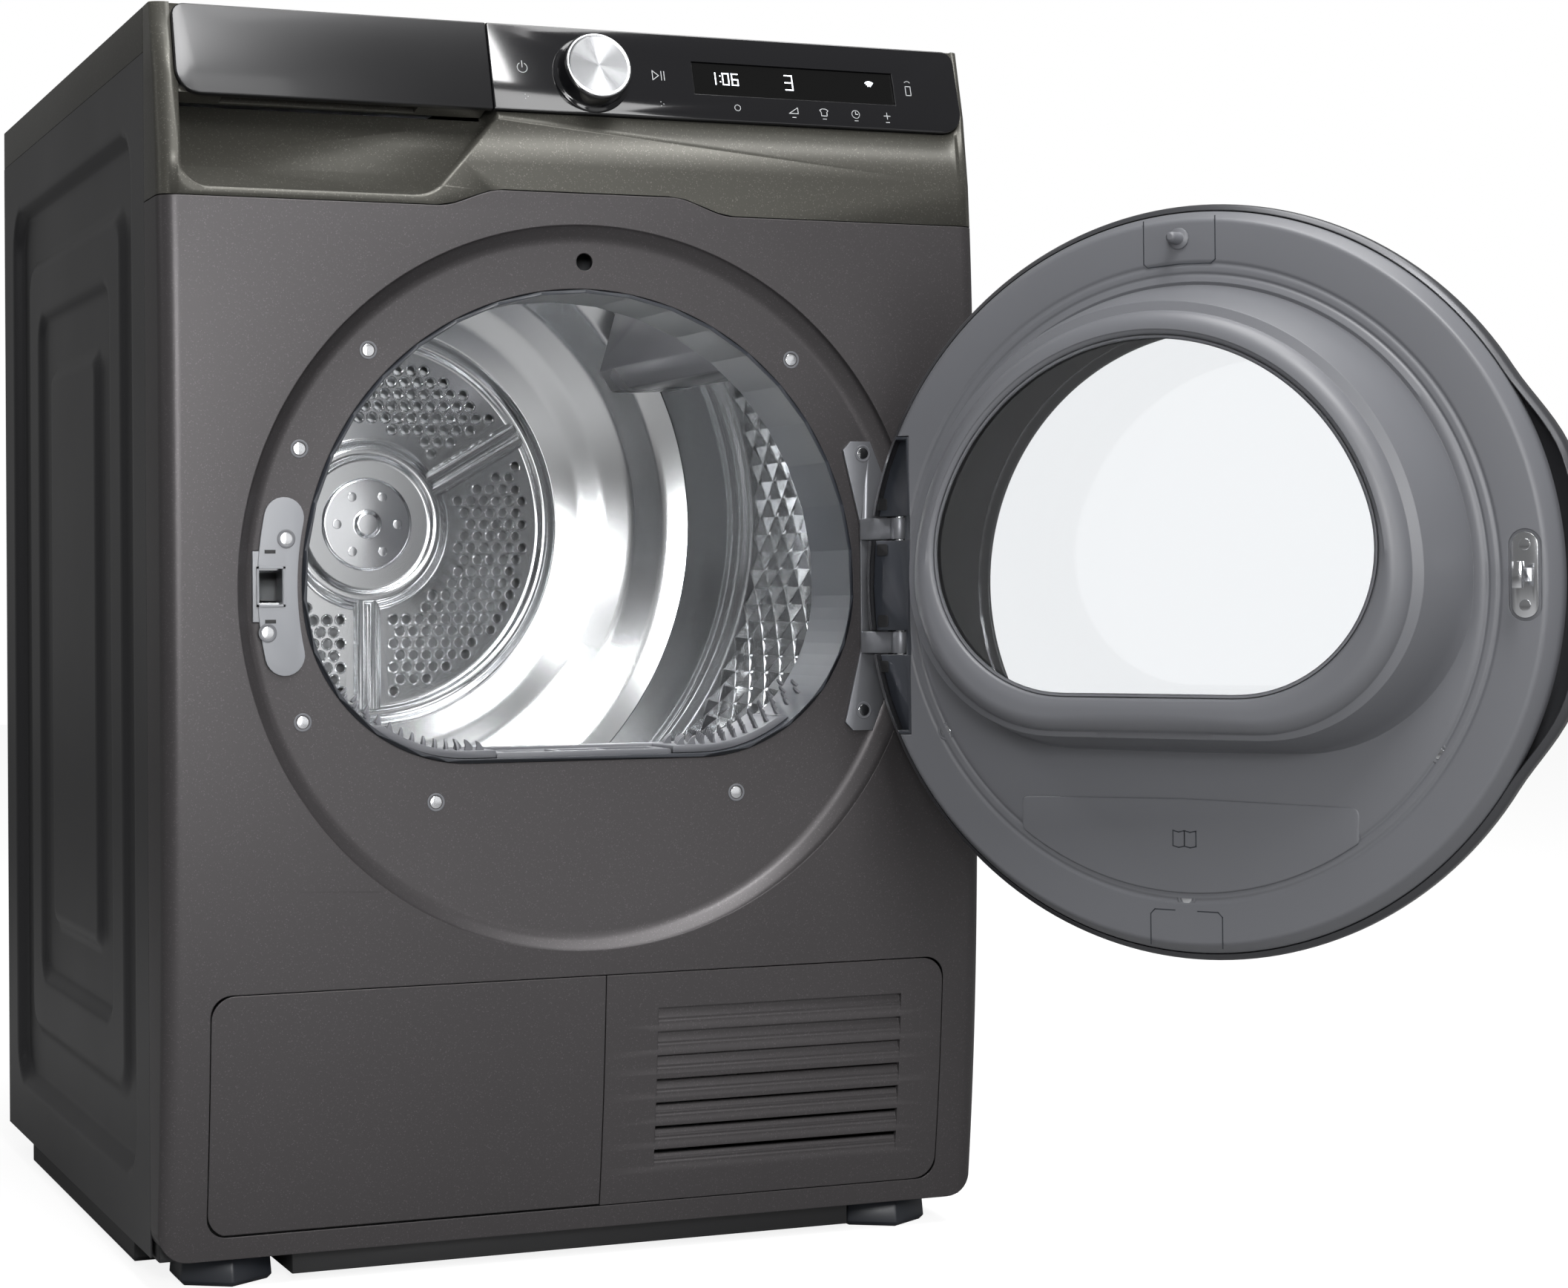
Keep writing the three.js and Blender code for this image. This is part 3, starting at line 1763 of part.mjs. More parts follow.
// The gloss panel's outline between x0 and x1, with a round foot corner at either end
function panelOutline(x0, x1, roundLeft, roundRight, inset) {
  const a = x0 + inset;
  const b = x1 - inset;
  const foot = inset;
  const head = slope + (inset < 0 ? 12 : -0.6);
  const r = panelCorner;
  const shape = new THREE.Shape();
  shape.moveTo(a, head);
  if (roundLeft) {
    shape.lineTo(a, foot + r);
    shape.absarc(a + r, foot + r, r, Math.PI, 1.5 * Math.PI);
  } else shape.lineTo(a, foot);
  if (roundRight) {
    shape.lineTo(b - r, foot);
    shape.absarc(b - r, foot + r, r, 1.5 * Math.PI, 2 * Math.PI);
  } else shape.lineTo(b, foot);
  shape.lineTo(b, head);
  return shape;
}
const pocketZ = seamZ + pocketFoot;
function pocket(grow) {
  const r = 18;
  const x0 = drawerX[0] + 2 - grow;
  const x1 = drawerX[1] + 3 + grow;
  const slant = x1 - 49;
  const foot = pocketZ - grow;
  const shape = new THREE.Shape();
  shape.moveTo(x0, foot + r);
  shape.absarc(x0 + r, foot + r, r, Math.PI, 1.5 * Math.PI);
  shape.lineTo(slant - 14, foot);
  shape.quadraticCurveTo(slant, foot, slant + 8, foot + 10);
  shape.lineTo(x1, panelZ - 6);
  shape.lineTo(x1, panelZ + 4);
  shape.lineTo(x0, panelZ + 4);
  const scoop = polygon([
    [ahead, foot - 1],
    [frontAt(pocketZ) + 1 + grow, foot - 1],
    [frontAt(pocketZ) + 10 + grow, foot + 14],
    [frontAt(pocketZ) + pocketDepth + grow, panelZ + 5],
    [ahead, panelZ + 5],
  ]);
  return facing(shape, ahead, flangeY - 1, 5).intersect(
    sideways(scoop, x0 - 1, x1 + 1),
  );
}
function fascia() {
  const above = polygon([
    ...seamLine(gap),
    [beside, cabinetHeight + 5],
    [-beside, cabinetHeight + 5],
  ]);
  const outer = bowedBody(seamZ - 20, cabinetHeight, 0).intersect(
    facing(above, ahead, flangeY + 5),
  );
  const shell = cut(
    outer,
    bowedBody(seamZ - 21, cabinetHeight - lidWall, frontSheet, flangeY + 1),
  );
  const backing = outer.intersect(
    tiltedBox(-halfWidth, halfWidth, -1, panelThick + gap + 3, -2, slope + 10),
  );
  return cut(
    join(shell, backing, outer.intersect(pocket(frontSheet))),
    tiltedFacing(panelOutline(...panelX, true, true, -gap), -6, panelThick + gap),
    tiltedBox(
      drawerX[0] + 2,
      drawerX[1] - 2,
      -6,
      60,
      2,
      slope - 4,
    ),
    pocket(0),
    tiltedBox(knobX - 9, knobX + 9, 0, 20, knobRise - 8, knobRise + 10),
  );
}
piece(dryer, "fascia", fascia(), paintUpper);

// Control panel with its display window and the programme knob
const controlX = [drawerX[1] + 0.5, panelX[1]];
const displayX = [controlX[1] - 208, controlX[1] - 52];
const displayS = [19.7, 44.7];
const knobS = knobRise / Math.cos(panelTilt);
function localFacing(shape, y0, y1) {
  const body = extruded(shape, y1 - y0, 1, 5);
  return solid(body.applyMatrix4(frontBasis).translate(0, y1, 0));
}
piece(
  tilted,
  "control_panel",
  cut(
    localFacing(panelOutline(...controlX, false, true, 0.1), 0, panelThick),
    box(...displayX, -1, 1.6, ...displayS),
    cylinder("y", [knobX, knobS], knobShaft + slack, -1, panelThick + 1, 20),
  ),
  glossBlack,
);
piece(
  tilted,
  "display_window",
  box(
    displayX[0] + gap,
    displayX[1] - gap,
    0.1,
    1.6 - gap,
    displayS[0] + gap,
    displayS[1] - gap,
  ),
  glossBlack,
);
const knob = new THREE.Group();
knob.position.set(knobX, 0, knobS);
tilted.add(knob);
piece(
  knob,
  "programme_knob",
  turnedY(
    [
      [0, panelThick + 8],
      [knobShaft, panelThick + 8],
      [knobShaft, -slack],
      [knobRadius + 3.5, -slack],
      [knobRadius + 3.5, -3],
      [knobRadius + 0.5, -4],
      [knobRadius, -knobReach + 1.5],
      [knobRadius - 1.5, -knobReach],
      [0, -knobReach],
    ],
    0,
    0,
    28,
  ),
  brightMetal,
);
piece(
  tilted,
  "control_board",
  box(displayX[0], displayX[1], panelThick + 6, panelThick + 9, 10, slope - 16),
  whitePlastic,
);

// Water tank drawer: gloss front, grip carrier and tank, which slide out together
piece(
  tilted,
  "drawer_front",
  localFacing(
    panelOutline(drawerX[0], drawerX[1], true, false, 0.1),
    0,
    panelThick,
  ),
  glossBlack,
);
const gripX = [drawerX[0] + 33, drawerX[1] - 51];
piece(
  tilted,
  "drawer_grip",
  cut(
    box(
      drawerX[0] + 3,
      drawerX[1] - 3,
      panelThick + gap,
      panelThick + 17,
      3,
      slope - 6,
    ),
    box(...gripX, panelThick + 5, panelThick + 14, 0, 26),
  ),
  paintUpper,
);
const tankX = [panelX[0] + 6, panelX[0] + 188];
const tankY = [-250, 180];
const tankZ = [panelZ + 4.5, cabinetHeight - 8];
const tankWall = 2.5;
piece(
  dryer,
  "water_tank",
  cut(
    box(...tankX, ...tankY, ...tankZ),
    box(
      tankX[0] + tankWall,
      tankX[1] - tankWall,
      tankY[0] + tankWall,
      tankY[1] - tankWall,
      tankZ[0] + tankWall,
      tankZ[1] - tankWall,
    ),
    box(
      tankX[0] + 30,
      tankX[0] + 100,
      tankY[0] + 40,
      tankY[0] + 90,
      tankZ[1] - 10,
      tankZ[1] + 1,
    ),
  ),
  whitePlastic,
);
const bayWall = 2;
piece(
  dryer,
  "drawer_bay",
  cut(
    box(
      tankX[0] - slack - bayWall,
      tankX[1] + slack + bayWall,
      flangeY + 2,
      tankY[1] + 6,
      tankZ[0] - slack - bayWall,
      tankZ[1] - 6,
    ),
    box(
      tankX[0] - slack,
      tankX[1] + slack,
      flangeY,
      tankY[1] + slack,
      tankZ[0] - slack,
      tankZ[1],
    ),
  ),
  whitePlastic,
);

export default dryer;
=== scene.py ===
import json
import math
import bmesh
import bpy
import numpy as np
from mathutils import Matrix, Vector


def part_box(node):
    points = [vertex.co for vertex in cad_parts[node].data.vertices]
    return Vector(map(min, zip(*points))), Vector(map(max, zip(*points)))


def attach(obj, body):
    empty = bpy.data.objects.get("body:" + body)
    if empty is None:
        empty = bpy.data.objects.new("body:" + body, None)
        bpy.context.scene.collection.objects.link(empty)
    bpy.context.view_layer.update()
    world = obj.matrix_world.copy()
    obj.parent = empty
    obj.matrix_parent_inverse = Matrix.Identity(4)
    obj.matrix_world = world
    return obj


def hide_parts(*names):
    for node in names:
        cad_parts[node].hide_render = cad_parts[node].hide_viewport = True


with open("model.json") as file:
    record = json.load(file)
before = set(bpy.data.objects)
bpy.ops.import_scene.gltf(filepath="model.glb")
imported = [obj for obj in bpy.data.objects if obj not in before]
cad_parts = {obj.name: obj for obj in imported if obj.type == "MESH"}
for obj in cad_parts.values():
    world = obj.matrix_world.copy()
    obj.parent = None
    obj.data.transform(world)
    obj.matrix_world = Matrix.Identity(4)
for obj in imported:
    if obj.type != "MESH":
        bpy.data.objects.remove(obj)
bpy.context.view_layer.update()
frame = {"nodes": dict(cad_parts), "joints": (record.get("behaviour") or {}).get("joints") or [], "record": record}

mm = 0.001  # every size below is in millimetres
joints = {j["name"]: j for j in frame["joints"]}


def span(node):  # a CAD node's two corners, in millimetres
    low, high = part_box(node)
    return low / mm, high / mm


# ---- sizes: offsets of the front's main lines, the rest read from the frame ----
layout = {
    "openingInset": 77,
    "openingDrop": 55,
    "recessMargin": 47,
    "recessDrop": 3,
    "recessFloor": -288,
    "panelHeight": 63,
    "seamDepth": 130,
    "panelTilt": 15.7,
    "doorGap": 1.5,
    "rim": -291.2,
    "latchInset": 26,
    "latchRise": 2,
}
frontLow, frontHigh = span("front_panel")
drumLow, drumHigh = span("drum_shell")
halfWidth = frontHigh.x
cabinetTop = span("fascia")[1].z
frontY = frontLow.y
flangeY = frontHigh.y
bodyFoot = frontLow.z
drumRadius = (drumHigh.x - drumLow.x) / 2
drumZ = joints["drum_spin"]["pos_m"][2] / mm
openingRadius = drumRadius - layout["openingInset"]
openingZ = drumZ - layout["openingDrop"]
recessRadius = openingRadius + layout["recessMargin"]
recessZ = openingZ - layout["recessDrop"]
recessFloor = layout["recessFloor"]
panelZ = cabinetTop - layout["panelHeight"]
seamZ = cabinetTop - layout["seamDepth"]
panelTilt = math.radians(layout["panelTilt"])
doorJoint = joints["door_swing"]
hingeX, hingeY = (c / mm for c in doorJoint["pos_m"][:2])
doorOpen = math.radians(-doorJoint["range_deg"][0])
doorRadius = recessRadius - layout["doorGap"]
doorZ = recessZ
rimY = layout["rim"]
latchX = -(recessRadius - layout["latchInset"])
latchZ = doorZ + layout["latchRise"]
doorTurn = (
    Matrix.Translation((hingeX * mm, hingeY * mm, 0))
    @ Matrix.Rotation(doorOpen, 4, "Z")
    @ Matrix.Translation((-hingeX * mm, -hingeY * mm, 0))
)
print("sizes read")


def linked(thing):
    bpy.context.scene.collection.objects.link(thing)
    return thing


# ---- camera ----
cameraView = {
    "place": (-0.7082, -2.1507, 0.4532),
    "yaw": 0.3548,
    "pitch": 0.0121,
    "roll": -0.0083,
    "lens": 66.74,
    "shift": (0.1414, -0.0496),
}


def makeCamera():
    yaw, pitch, roll = (cameraView[k] for k in ("yaw", "pitch", "roll"))
    ahead = Vector((math.sin(yaw) * math.cos(pitch), math.cos(yaw) * math.cos(pitch), math.sin(pitch)))
    level = Vector((math.cos(yaw), -math.sin(yaw), 0))
    upright = level.cross(ahead)
    right = level * math.cos(roll) + upright * math.sin(roll)
    up = upright * math.cos(roll) - level * math.sin(roll)
    data = bpy.data.cameras.new("camera")
    data.lens = cameraView["lens"]
    data.shift_x, data.shift_y = cameraView["shift"]
    camera = linked(bpy.data.objects.new("camera", data))
    turn = Matrix((right, up, -ahead)).transposed().to_4x4()
    camera.matrix_world = Matrix.Translation(cameraView["place"]) @ turn
    bpy.context.scene.camera = camera


makeCamera()
print("camera placed")


# ---- finishes ----
lacquer = {"broadScale": 6, "grainScale": 900, "grainDepth": 0.02, "flakeScale": 1500, "coatRoughness": 0.1}


def addNode(tree, kind, inputs=None, **settings):
    made = tree.nodes.new(kind)
    for name, value in settings.items():
        setattr(made, name, value)
    for name, value in (inputs or {}).items():
        made.inputs[name].default_value = value
    return made


def newFinish(name, look):
    material = bpy.data.materials.new(name)
    material.use_nodes = True
    tree = material.node_tree
    shader = tree.nodes["Principled BSDF"]
    link = tree.links.new

    def add(kind, inputs=None, **settings):
        return addNode(tree, "ShaderNode" + kind, inputs, **settings)

    constants = {
        "Metallic": look.get("metallic", 0),
        "IOR": look.get("ior", 1.5),
        "Coat Weight": look.get("coat", 0),
        "Coat Roughness": lacquer["coatRoughness"],
        "Anisotropic": look.get("anisotropic", 0),
        "Transmission Weight": look.get("transmission", 0),
    }
    for socket, value in constants.items():
        shader.inputs[socket].default_value = value
    place = add("TexCoord").outputs["Object"]
    # slow unevenness of colour and gloss, then the moulded or sprayed grain
    broad = add("TexNoise", {"Scale": look.get("broadScale", lacquer["broadScale"]), "Detail": 3})
    fine = add("TexNoise", {"Scale": lacquer["grainScale"], "Detail": 2})
    for noise in (broad, fine):
        link(place, noise.inputs["Vector"])
    color = look["color"]
    shade = look.get("shade", 0.06)
    darker, lighter = ((*(c * share for c in color), 1) for share in (1 - shade, 1 + shade))
    tone = add("Mix", {"A": darker, "B": lighter}, data_type="RGBA")
    link(broad.outputs["Fac"], tone.inputs["Factor"])
    painted = tone.outputs["Result"]
    if "flake" in look:  # bright specks in the lacquer
        cells = add("TexVoronoi", {"Scale": lacquer["flakeScale"]})
        link(place, cells.inputs["Vector"])
        split = add("SeparateColor")
        link(cells.outputs["Color"], split.inputs["Color"])
        spark = add("MapRange", {"From Min": 0.9, "From Max": 1, "To Max": look["flake"]})
        link(split.outputs["Red"], spark.inputs["Value"])
        glitter = add("Mix", {"B": (*(min(1, c * 3.2 + 0.05) for c in color), 1)}, data_type="RGBA")
        link(spark.outputs["Result"], glitter.inputs["Factor"])
        link(painted, glitter.inputs["A"])
        painted = glitter.outputs["Result"]
    link(painted, shader.inputs["Base Color"])
    if "glow" in look:
        shader.inputs["Emission Color"].default_value = (*color, 1)
        shader.inputs["Emission Strength"].default_value = look["glow"]
    rough = add("MapRange", {"To Min": look["roughness"] * 0.88, "To Max": look["roughness"] * 1.12})
    link(broad.outputs["Fac"], rough.inputs["Value"])
    link(rough.outputs["Result"], shader.inputs["Roughness"])
    bump = add("Bump", {"Strength": look.get("grain", 0.15), "Distance": lacquer["grainDepth"] * mm})
    link(fine.outputs["Fac"], bump.inputs["Height"])
    edgeRadius = look.get("edge", 0.5)
    if edgeRadius:  # rounds the light over the edges
        edge = add("Bevel", {"Radius": edgeRadius * mm}, samples=4)
        link(edge.outputs["Normal"], bump.inputs["Normal"])
    link(bump.outputs["Normal"], shader.inputs["Normal"])
    if "anisotropic" in look:
        around = add("Tangent", direction_type="UV_MAP", uv_map="UVMap")
        link(around.outputs["Tangent"], shader.inputs["Tangent"])
    return material


looks = {
    "paintLower": {
        "color": (0.058, 0.054, 0.056), "roughness": 0.38, "metallic": 0.5, "flake": 0.18, "edge": 1.0,
    },
    "paintUpper": {
        "color": (0.068, 0.066, 0.057), "roughness": 0.38, "metallic": 0.5, "flake": 0.32, "edge": 0.8,
    },
    "paintSide": {"color": (0.020, 0.020, 0.022), "roughness": 0.36, "metallic": 0.2, "grain": 0.3},
    "glossBlack": {
        "color": (0.006, 0.006, 0.007), "roughness": 0.07, "coat": 0.4, "grain": 0.01, "shade": 0.02,
    },
    "satinBlack": {
        "color": (0.012, 0.012, 0.013), "roughness": 0.3, "metallic": 0.4, "coat": 0.15, "grain": 0.02,
        "shade": 0.02,
    },
    "display": {"color": (0.002, 0.002, 0.002), "roughness": 0.1, "grain": 0, "shade": 0.02},
    "greyPlastic": {"color": (0.118, 0.121, 0.132), "roughness": 0.42, "grain": 0.3, "edge": 0.8},
    "palePlastic": {"color": (0.231, 0.238, 0.254), "roughness": 0.42, "grain": 0.25},
    "darkPlastic": {"color": (0.024, 0.027, 0.034), "roughness": 0.4, "grain": 0.3, "edge": 0.8},
    "blackPlastic": {"color": (0.009, 0.009, 0.010), "roughness": 0.5, "grain": 0.4},
    "whitePlastic": {"color": (0.62, 0.63, 0.64), "roughness": 0.45, "grain": 0.2},
    "steel": {"color": (0.56, 0.57, 0.58), "roughness": 0.17, "metallic": 1, "grain": 0.05, "edge": 0.3},
    "drumSteel": {
        "color": (0.60, 0.61, 0.62), "roughness": 0.2, "metallic": 1, "anisotropic": 0.45, "grain": 0.04,
        "edge": 0,
    },
    "facetSteel": {"color": (0.66, 0.67, 0.68), "roughness": 0.09, "metallic": 1, "grain": 0.02, "edge": 0},
    "lifterSteel": {"color": (0.13, 0.13, 0.14), "roughness": 0.28, "metallic": 0.8, "grain": 0.05},
    "spun": {
        "color": (0.74, 0.75, 0.77), "roughness": 0.24, "metallic": 1, "anisotropic": 0.8, "grain": 0.04,
        "edge": 0,
    },
    "bright": {"color": (0.66, 0.67, 0.69), "roughness": 0.16, "metallic": 1, "grain": 0.05, "edge": 0.3},
    "doorShell": {
        "color": (0.055, 0.056, 0.061), "roughness": 0.3, "metallic": 0.4, "grain": 0.1, "edge": 0.8,
    },
    "castMetal": {"color": (0.19, 0.195, 0.21), "roughness": 0.4, "metallic": 0.6, "grain": 0.4},
    "galvanised": {
        "color": (0.30, 0.31, 0.32), "roughness": 0.42, "metallic": 0.9, "broadScale": 45, "shade": 0.25,
    },
    "copper": {"color": (0.48, 0.25, 0.13), "roughness": 0.35, "metallic": 1},
    "rubber": {"color": (0.010, 0.010, 0.010), "roughness": 0.75, "grain": 0.5},
    "glass": {
        "color": (0.96, 0.97, 0.98), "roughness": 0.02, "transmission": 1, "ior": 1.45, "shade": 0,
        "grain": 0, "edge": 0,
    },
}
finishes = {name: newFinish(name, look) for name, look in looks.items()}
renamed = {"stainless": "steel", "bright_metal": "bright", "copper_fins": "copper", "clear_glass": "glass"}


def camelCase(slot):
    first, *rest = slot.split("_")
    return first + "".join(word.capitalize() for word in rest)


slotFinish = {
    slot["slot"]: renamed.get(slot["slot"], camelCase(slot["slot"]))
    for slot in frame["record"]["materials"]
}
nodeSlot = {part["node"]: part["material_slot"] for part in frame["record"]["subparts"]}
nodeBody = {node: body for body, nodes in frame["record"]["behaviour"]["bodies"].items() for node in nodes}
for nodeName, node in frame["nodes"].items():
    node.data.materials.clear()
    node.data.materials.append(finishes[slotFinish[nodeSlot[nodeName]]])
print("finishes made")


# ---- mesh tools ----
def meshObject(name, points, faces, smooth=30):
    mesh = bpy.data.meshes.new(name)
    mesh.from_pydata([tuple(c * mm for c in p) for p in points], [], faces)
    made = linked(bpy.data.objects.new(name, mesh))
    tidyMesh(mesh, smooth)
    return made


def tidyMesh(mesh, smooth=30, turnOut=True):
    work = bmesh.new()
    work.from_mesh(mesh)
    bmesh.ops.remove_doubles(work, verts=work.verts, dist=0.002 * mm)
    if turnOut:
        bmesh.ops.recalc_face_normals(work, faces=work.faces)
    work.to_mesh(mesh)
    work.free()
    mesh.shade_smooth()
    mesh.set_sharp_from_angle(angle=math.radians(smooth))


def loft(name, rings, ends="caps", smooth=30):  # ends: caps, loop or open
    count = len(rings[0])
    points = [tuple(p) for ring in rings for p in ring]
    faces = []
    last = len(rings) if ends == "loop" else len(rings) - 1
    for k in range(last):
        low, high = k * count, (k + 1) % len(rings) * count
        for i in range(count):
            j = (i + 1) % count
            faces.append((low + i, low + j, high + j, high + i))
    if ends == "caps":
        faces.append(tuple(range(count)))
        faces.append(tuple(range((len(rings) - 1) * count, len(rings) * count)))
    return meshObject(name, points, faces, smooth)


def arc(x, z, radius, start, stop, steps=12):
    return [
        (
            x + radius * math.cos(start + (stop - start) * i / steps),
            z + radius * math.sin(start + (stop - start) * i / steps),
        )
        for i in range(steps + 1)
    ]


def roundedBox(x0, z0, x1, z1, r, steps=8):
    quarter = math.pi / 2
    return (
        arc(x1 - r, z0 + r, r, -quarter, 0, steps)
        + arc(x1 - r, z1 - r, r, 0, quarter, steps)
        + arc(x0 + r, z1 - r, r, quarter, 2 * quarter, steps)
        + arc(x0 + r, z0 + r, r, 2 * quarter, 3 * quarter, steps)
    )


def flattened(radius, flat, foot, z, steps=24):
    turn = (radius**2 - flat**2 - foot**2) / (2 * (radius - flat))
    tip = math.atan2(turn - flat, foot)
    return (
        arc(foot, z - flat + turn, turn, -math.pi / 2, tip, steps)
        + arc(0, z, radius, tip, math.pi - tip, steps * 4)[1:]
        + arc(-foot, z - flat + turn, turn, math.pi - tip, 1.5 * math.pi, steps)[1:]
    )


def soften(points, reach, steps=5):  # rounds each inner corner of a line
    out = [points[0]]
    for before, here, after in zip(points, points[1:], points[2:]):
        a, b, c = (np.array(p, float) for p in (before, here, after))
        near = min(reach, np.linalg.norm(a - b) * 0.45, np.linalg.norm(c - b) * 0.45)
        p = b + (a - b) / np.linalg.norm(a - b) * near
        q = b + (c - b) / np.linalg.norm(c - b) * near
        for i in range(steps + 1):
            t = i / steps
            out.append(tuple(p * (1 - t) ** 2 + b * 2 * t * (1 - t) + q * t**2))
    return out + [points[-1]]


def pushed(name, outline, start, stop, along="y", smooth=30):
    place = {
        "x": lambda u, v, w: (w, u, v),
        "y": lambda u, v, w: (u, w, v),
        "z": lambda u, v, w: (u, v, w),
    }[along]
    return loft(name, [[place(u, v, w) for u, v in outline] for w in (start, stop)], "caps", smooth)


def block(name, x0, x1, y0, y1, z0, z1):
    return pushed(name, [(x0, y0), (x1, y0), (x1, y1), (x0, y1)], z0, z1, "z")


def turned(name, profile, x, z, sides=128, shape=None, smooth=30):
    rings = []
    for r, y in profile:
        r = max(r, 0.0005)
        ring = []
        for i in range(sides):
            a = 2 * math.pi * i / sides
            px, pz = r * math.cos(a), r * math.sin(a)
            if shape:
                px, pz = shape(px, pz)
            ring.append((x + px, y, z + pz))
        rings.append(ring)
    onAxis = profile[0][0] < 0.001 and profile[-1][0] < 0.001
    return loft(name, rings, "caps" if onAxis else "loop", smooth)


def baked(piece):  # the piece with its modifiers made real
    bpy.context.view_layer.update()
    graph = bpy.context.evaluated_depsgraph_get()
    mesh = bpy.data.meshes.new_from_object(piece.evaluated_get(graph))
    old = piece.data
    piece.modifiers.clear()
    piece.data = mesh
    bpy.data.meshes.remove(old)
    return piece


def bevelled(piece, width, segments, angle):
    edge = piece.modifiers.new("edge", "BEVEL")
    edge.width = width * mm
    edge.segments = segments
    edge.limit_method = "ANGLE"
    edge.angle_limit = math.radians(angle)
    return baked(piece)


def carved(piece, *steps, smooth=30):  # steps are (how, tool); the tools are used up
    for how, tool in steps:
        change = piece.modifiers.new(how, "BOOLEAN")
        change.operation = how
        change.solver = "MANIFOLD"
        change.object = tool
        tool.hide_render = True
    baked(piece)
    for tool in {t for _, t in steps}:
        bpy.data.objects.remove(tool)
    tidyMesh(piece.data, smooth, turnOut=False)
    return piece


def spinUV(piece, x, z):  # U runs round the piece, V outwards
    mesh = piece.data
    layer = mesh.uv_layers.new(name="UVMap")
    for face in mesh.polygons:
        around = []
        for loop in face.loop_indices:
            co = mesh.vertices[mesh.loops[loop].vertex_index].co / mm
            around.append(
                (math.atan2(co.z - z, co.x - x) / (2 * math.pi), math.hypot(co.x - x, co.z - z), co.y)
            )
        wrap = max(a for a, _, _ in around) - min(a for a, _, _ in around) > 0.5
        for loop, (a, r, y) in zip(face.loop_indices, around):
            layer.data[loop].uv = (a + 1 if wrap and a < 0 else a, (r + y) / 100)


def ready(piece, body, slot, finishName, *replaced):
    if body == "door" and not piece.get("turnedOpen"):
        piece.data.transform(doorTurn)
    piece.data.materials.clear()
    piece.data.materials.append(finishes[finishName])
    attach(piece, body)
    if replaced:
        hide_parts(*replaced)
    return piece


def softCopy(node, width=0.6, smooth=32, finishName=None):  # the CAD shape with rounded edges
    mesh = frame["nodes"][node].data.copy()
    made = linked(bpy.data.objects.new(node + "_smooth", mesh))
    tidyMesh(mesh, smooth, turnOut=False)
    if width:
        bevelled(made, width, 2, 40)
        made.data.shade_smooth()
        made.data.set_sharp_from_angle(angle=math.radians(50))
    made["turnedOpen"] = True
    slot = nodeSlot[node]
    return ready(made, nodeBody[node], slot, finishName or slotFinish[slot], node)


# ---- geometry nodes: one piece set on each point of a mesh ----
def setOutTree():
    tree = bpy.data.node_groups.new("setOut", "GeometryNodeTree")
    put = tree.interface.new_socket
    put("Geometry", in_out="INPUT", socket_type="NodeSocketGeometry")
    put("Piece", in_out="INPUT", socket_type="NodeSocketObject")
    put("Size", in_out="INPUT", socket_type="NodeSocketFloat").default_value = 1
    put("Finish", in_out="INPUT", socket_type="NodeSocketMaterial")
    put("Geometry", in_out="OUTPUT", socket_type="NodeSocketGeometry")
    add, link = tree.nodes.new, tree.links.new
    source, result = add("NodeGroupInput"), add("NodeGroupOutput")
    piece = add("GeometryNodeObjectInfo")
    piece.transform_space = "ORIGINAL"
    turn = add("GeometryNodeInputNamedAttribute")
    turn.data_type = "FLOAT_VECTOR"
    turn.inputs["Name"].default_value = "turn"
    aim = add("FunctionNodeEulerToRotation")
    points = add("GeometryNodeMeshToPoints")
    setOut = add("GeometryNodeInstanceOnPoints")
    real = add("GeometryNodeRealizeInstances")
    coat = add("GeometryNodeSetMaterial")
    for giver, given, taker, taken in (
        (source, "Piece", piece, "Object"),
        (source, "Geometry", points, "Mesh"),
        (points, "Points", setOut, "Points"),
        (piece, "Geometry", setOut, "Instance"),
        (turn, "Attribute", aim, "Euler"),
        (aim, "Rotation", setOut, "Rotation"),
        (source, "Size", setOut, "Scale"),
        (setOut, "Instances", real, "Geometry"),
        (real, "Geometry", coat, "Geometry"),
        (source, "Finish", coat, "Material"),
        (coat, "Geometry", result, "Geometry"),
    ):
        link(giver.outputs[given], taker.inputs[taken])
    return tree


setOutNodes = setOutTree()
socketOf = {
    item.name: item.identifier
    for item in setOutNodes.interface.items_tree if item.in_out == "INPUT"
}


def setOut(name, source, places, finishName, size=1.0):  # places are (point, facing, twist)
    mesh = bpy.data.meshes.new(name)
    mesh.from_pydata([tuple(c * mm for c in point) for point, _, _ in places], [], [])
    turns = mesh.attributes.new("turn", "FLOAT_VECTOR", "POINT")
    for i, (_, facing, twist) in enumerate(places):
        aim = Vector(facing).to_track_quat("Z", "Y").to_matrix() @ Matrix.Rotation(twist, 3, "Z")
        turns.data[i].vector = aim.to_euler()
    made = linked(bpy.data.objects.new(name, mesh))
    modifier = made.modifiers.new("setOut", "NODES")
    modifier.node_group = setOutNodes
    modifier[socketOf["Piece"]] = source
    modifier[socketOf["Size"]] = float(size)
    modifier[socketOf["Finish"]] = finishes[finishName]
    baked(made)
    made.data.shade_smooth()
    made.data.set_sharp_from_angle(angle=math.radians(30))
    return made


print("tools ready")

# ---- the bowed front ----
bow = {
    "mid": 450, "footDrop": 26, "footPower": 2.85, "headDrop": 10.5, "headPower": 4, "corner": 13,
    "step": 6,
}


def frontAt(z):
    z = min(z, panelZ)
    low = z < bow["mid"]
    reach = bow["mid"] - bodyFoot if low else panelZ - bow["mid"]
    share = abs(z - bow["mid"]) / reach
    if low:
        return frontY + bow["footDrop"] * share ** bow["footPower"]
    return frontY + bow["headDrop"] * share ** bow["headPower"]


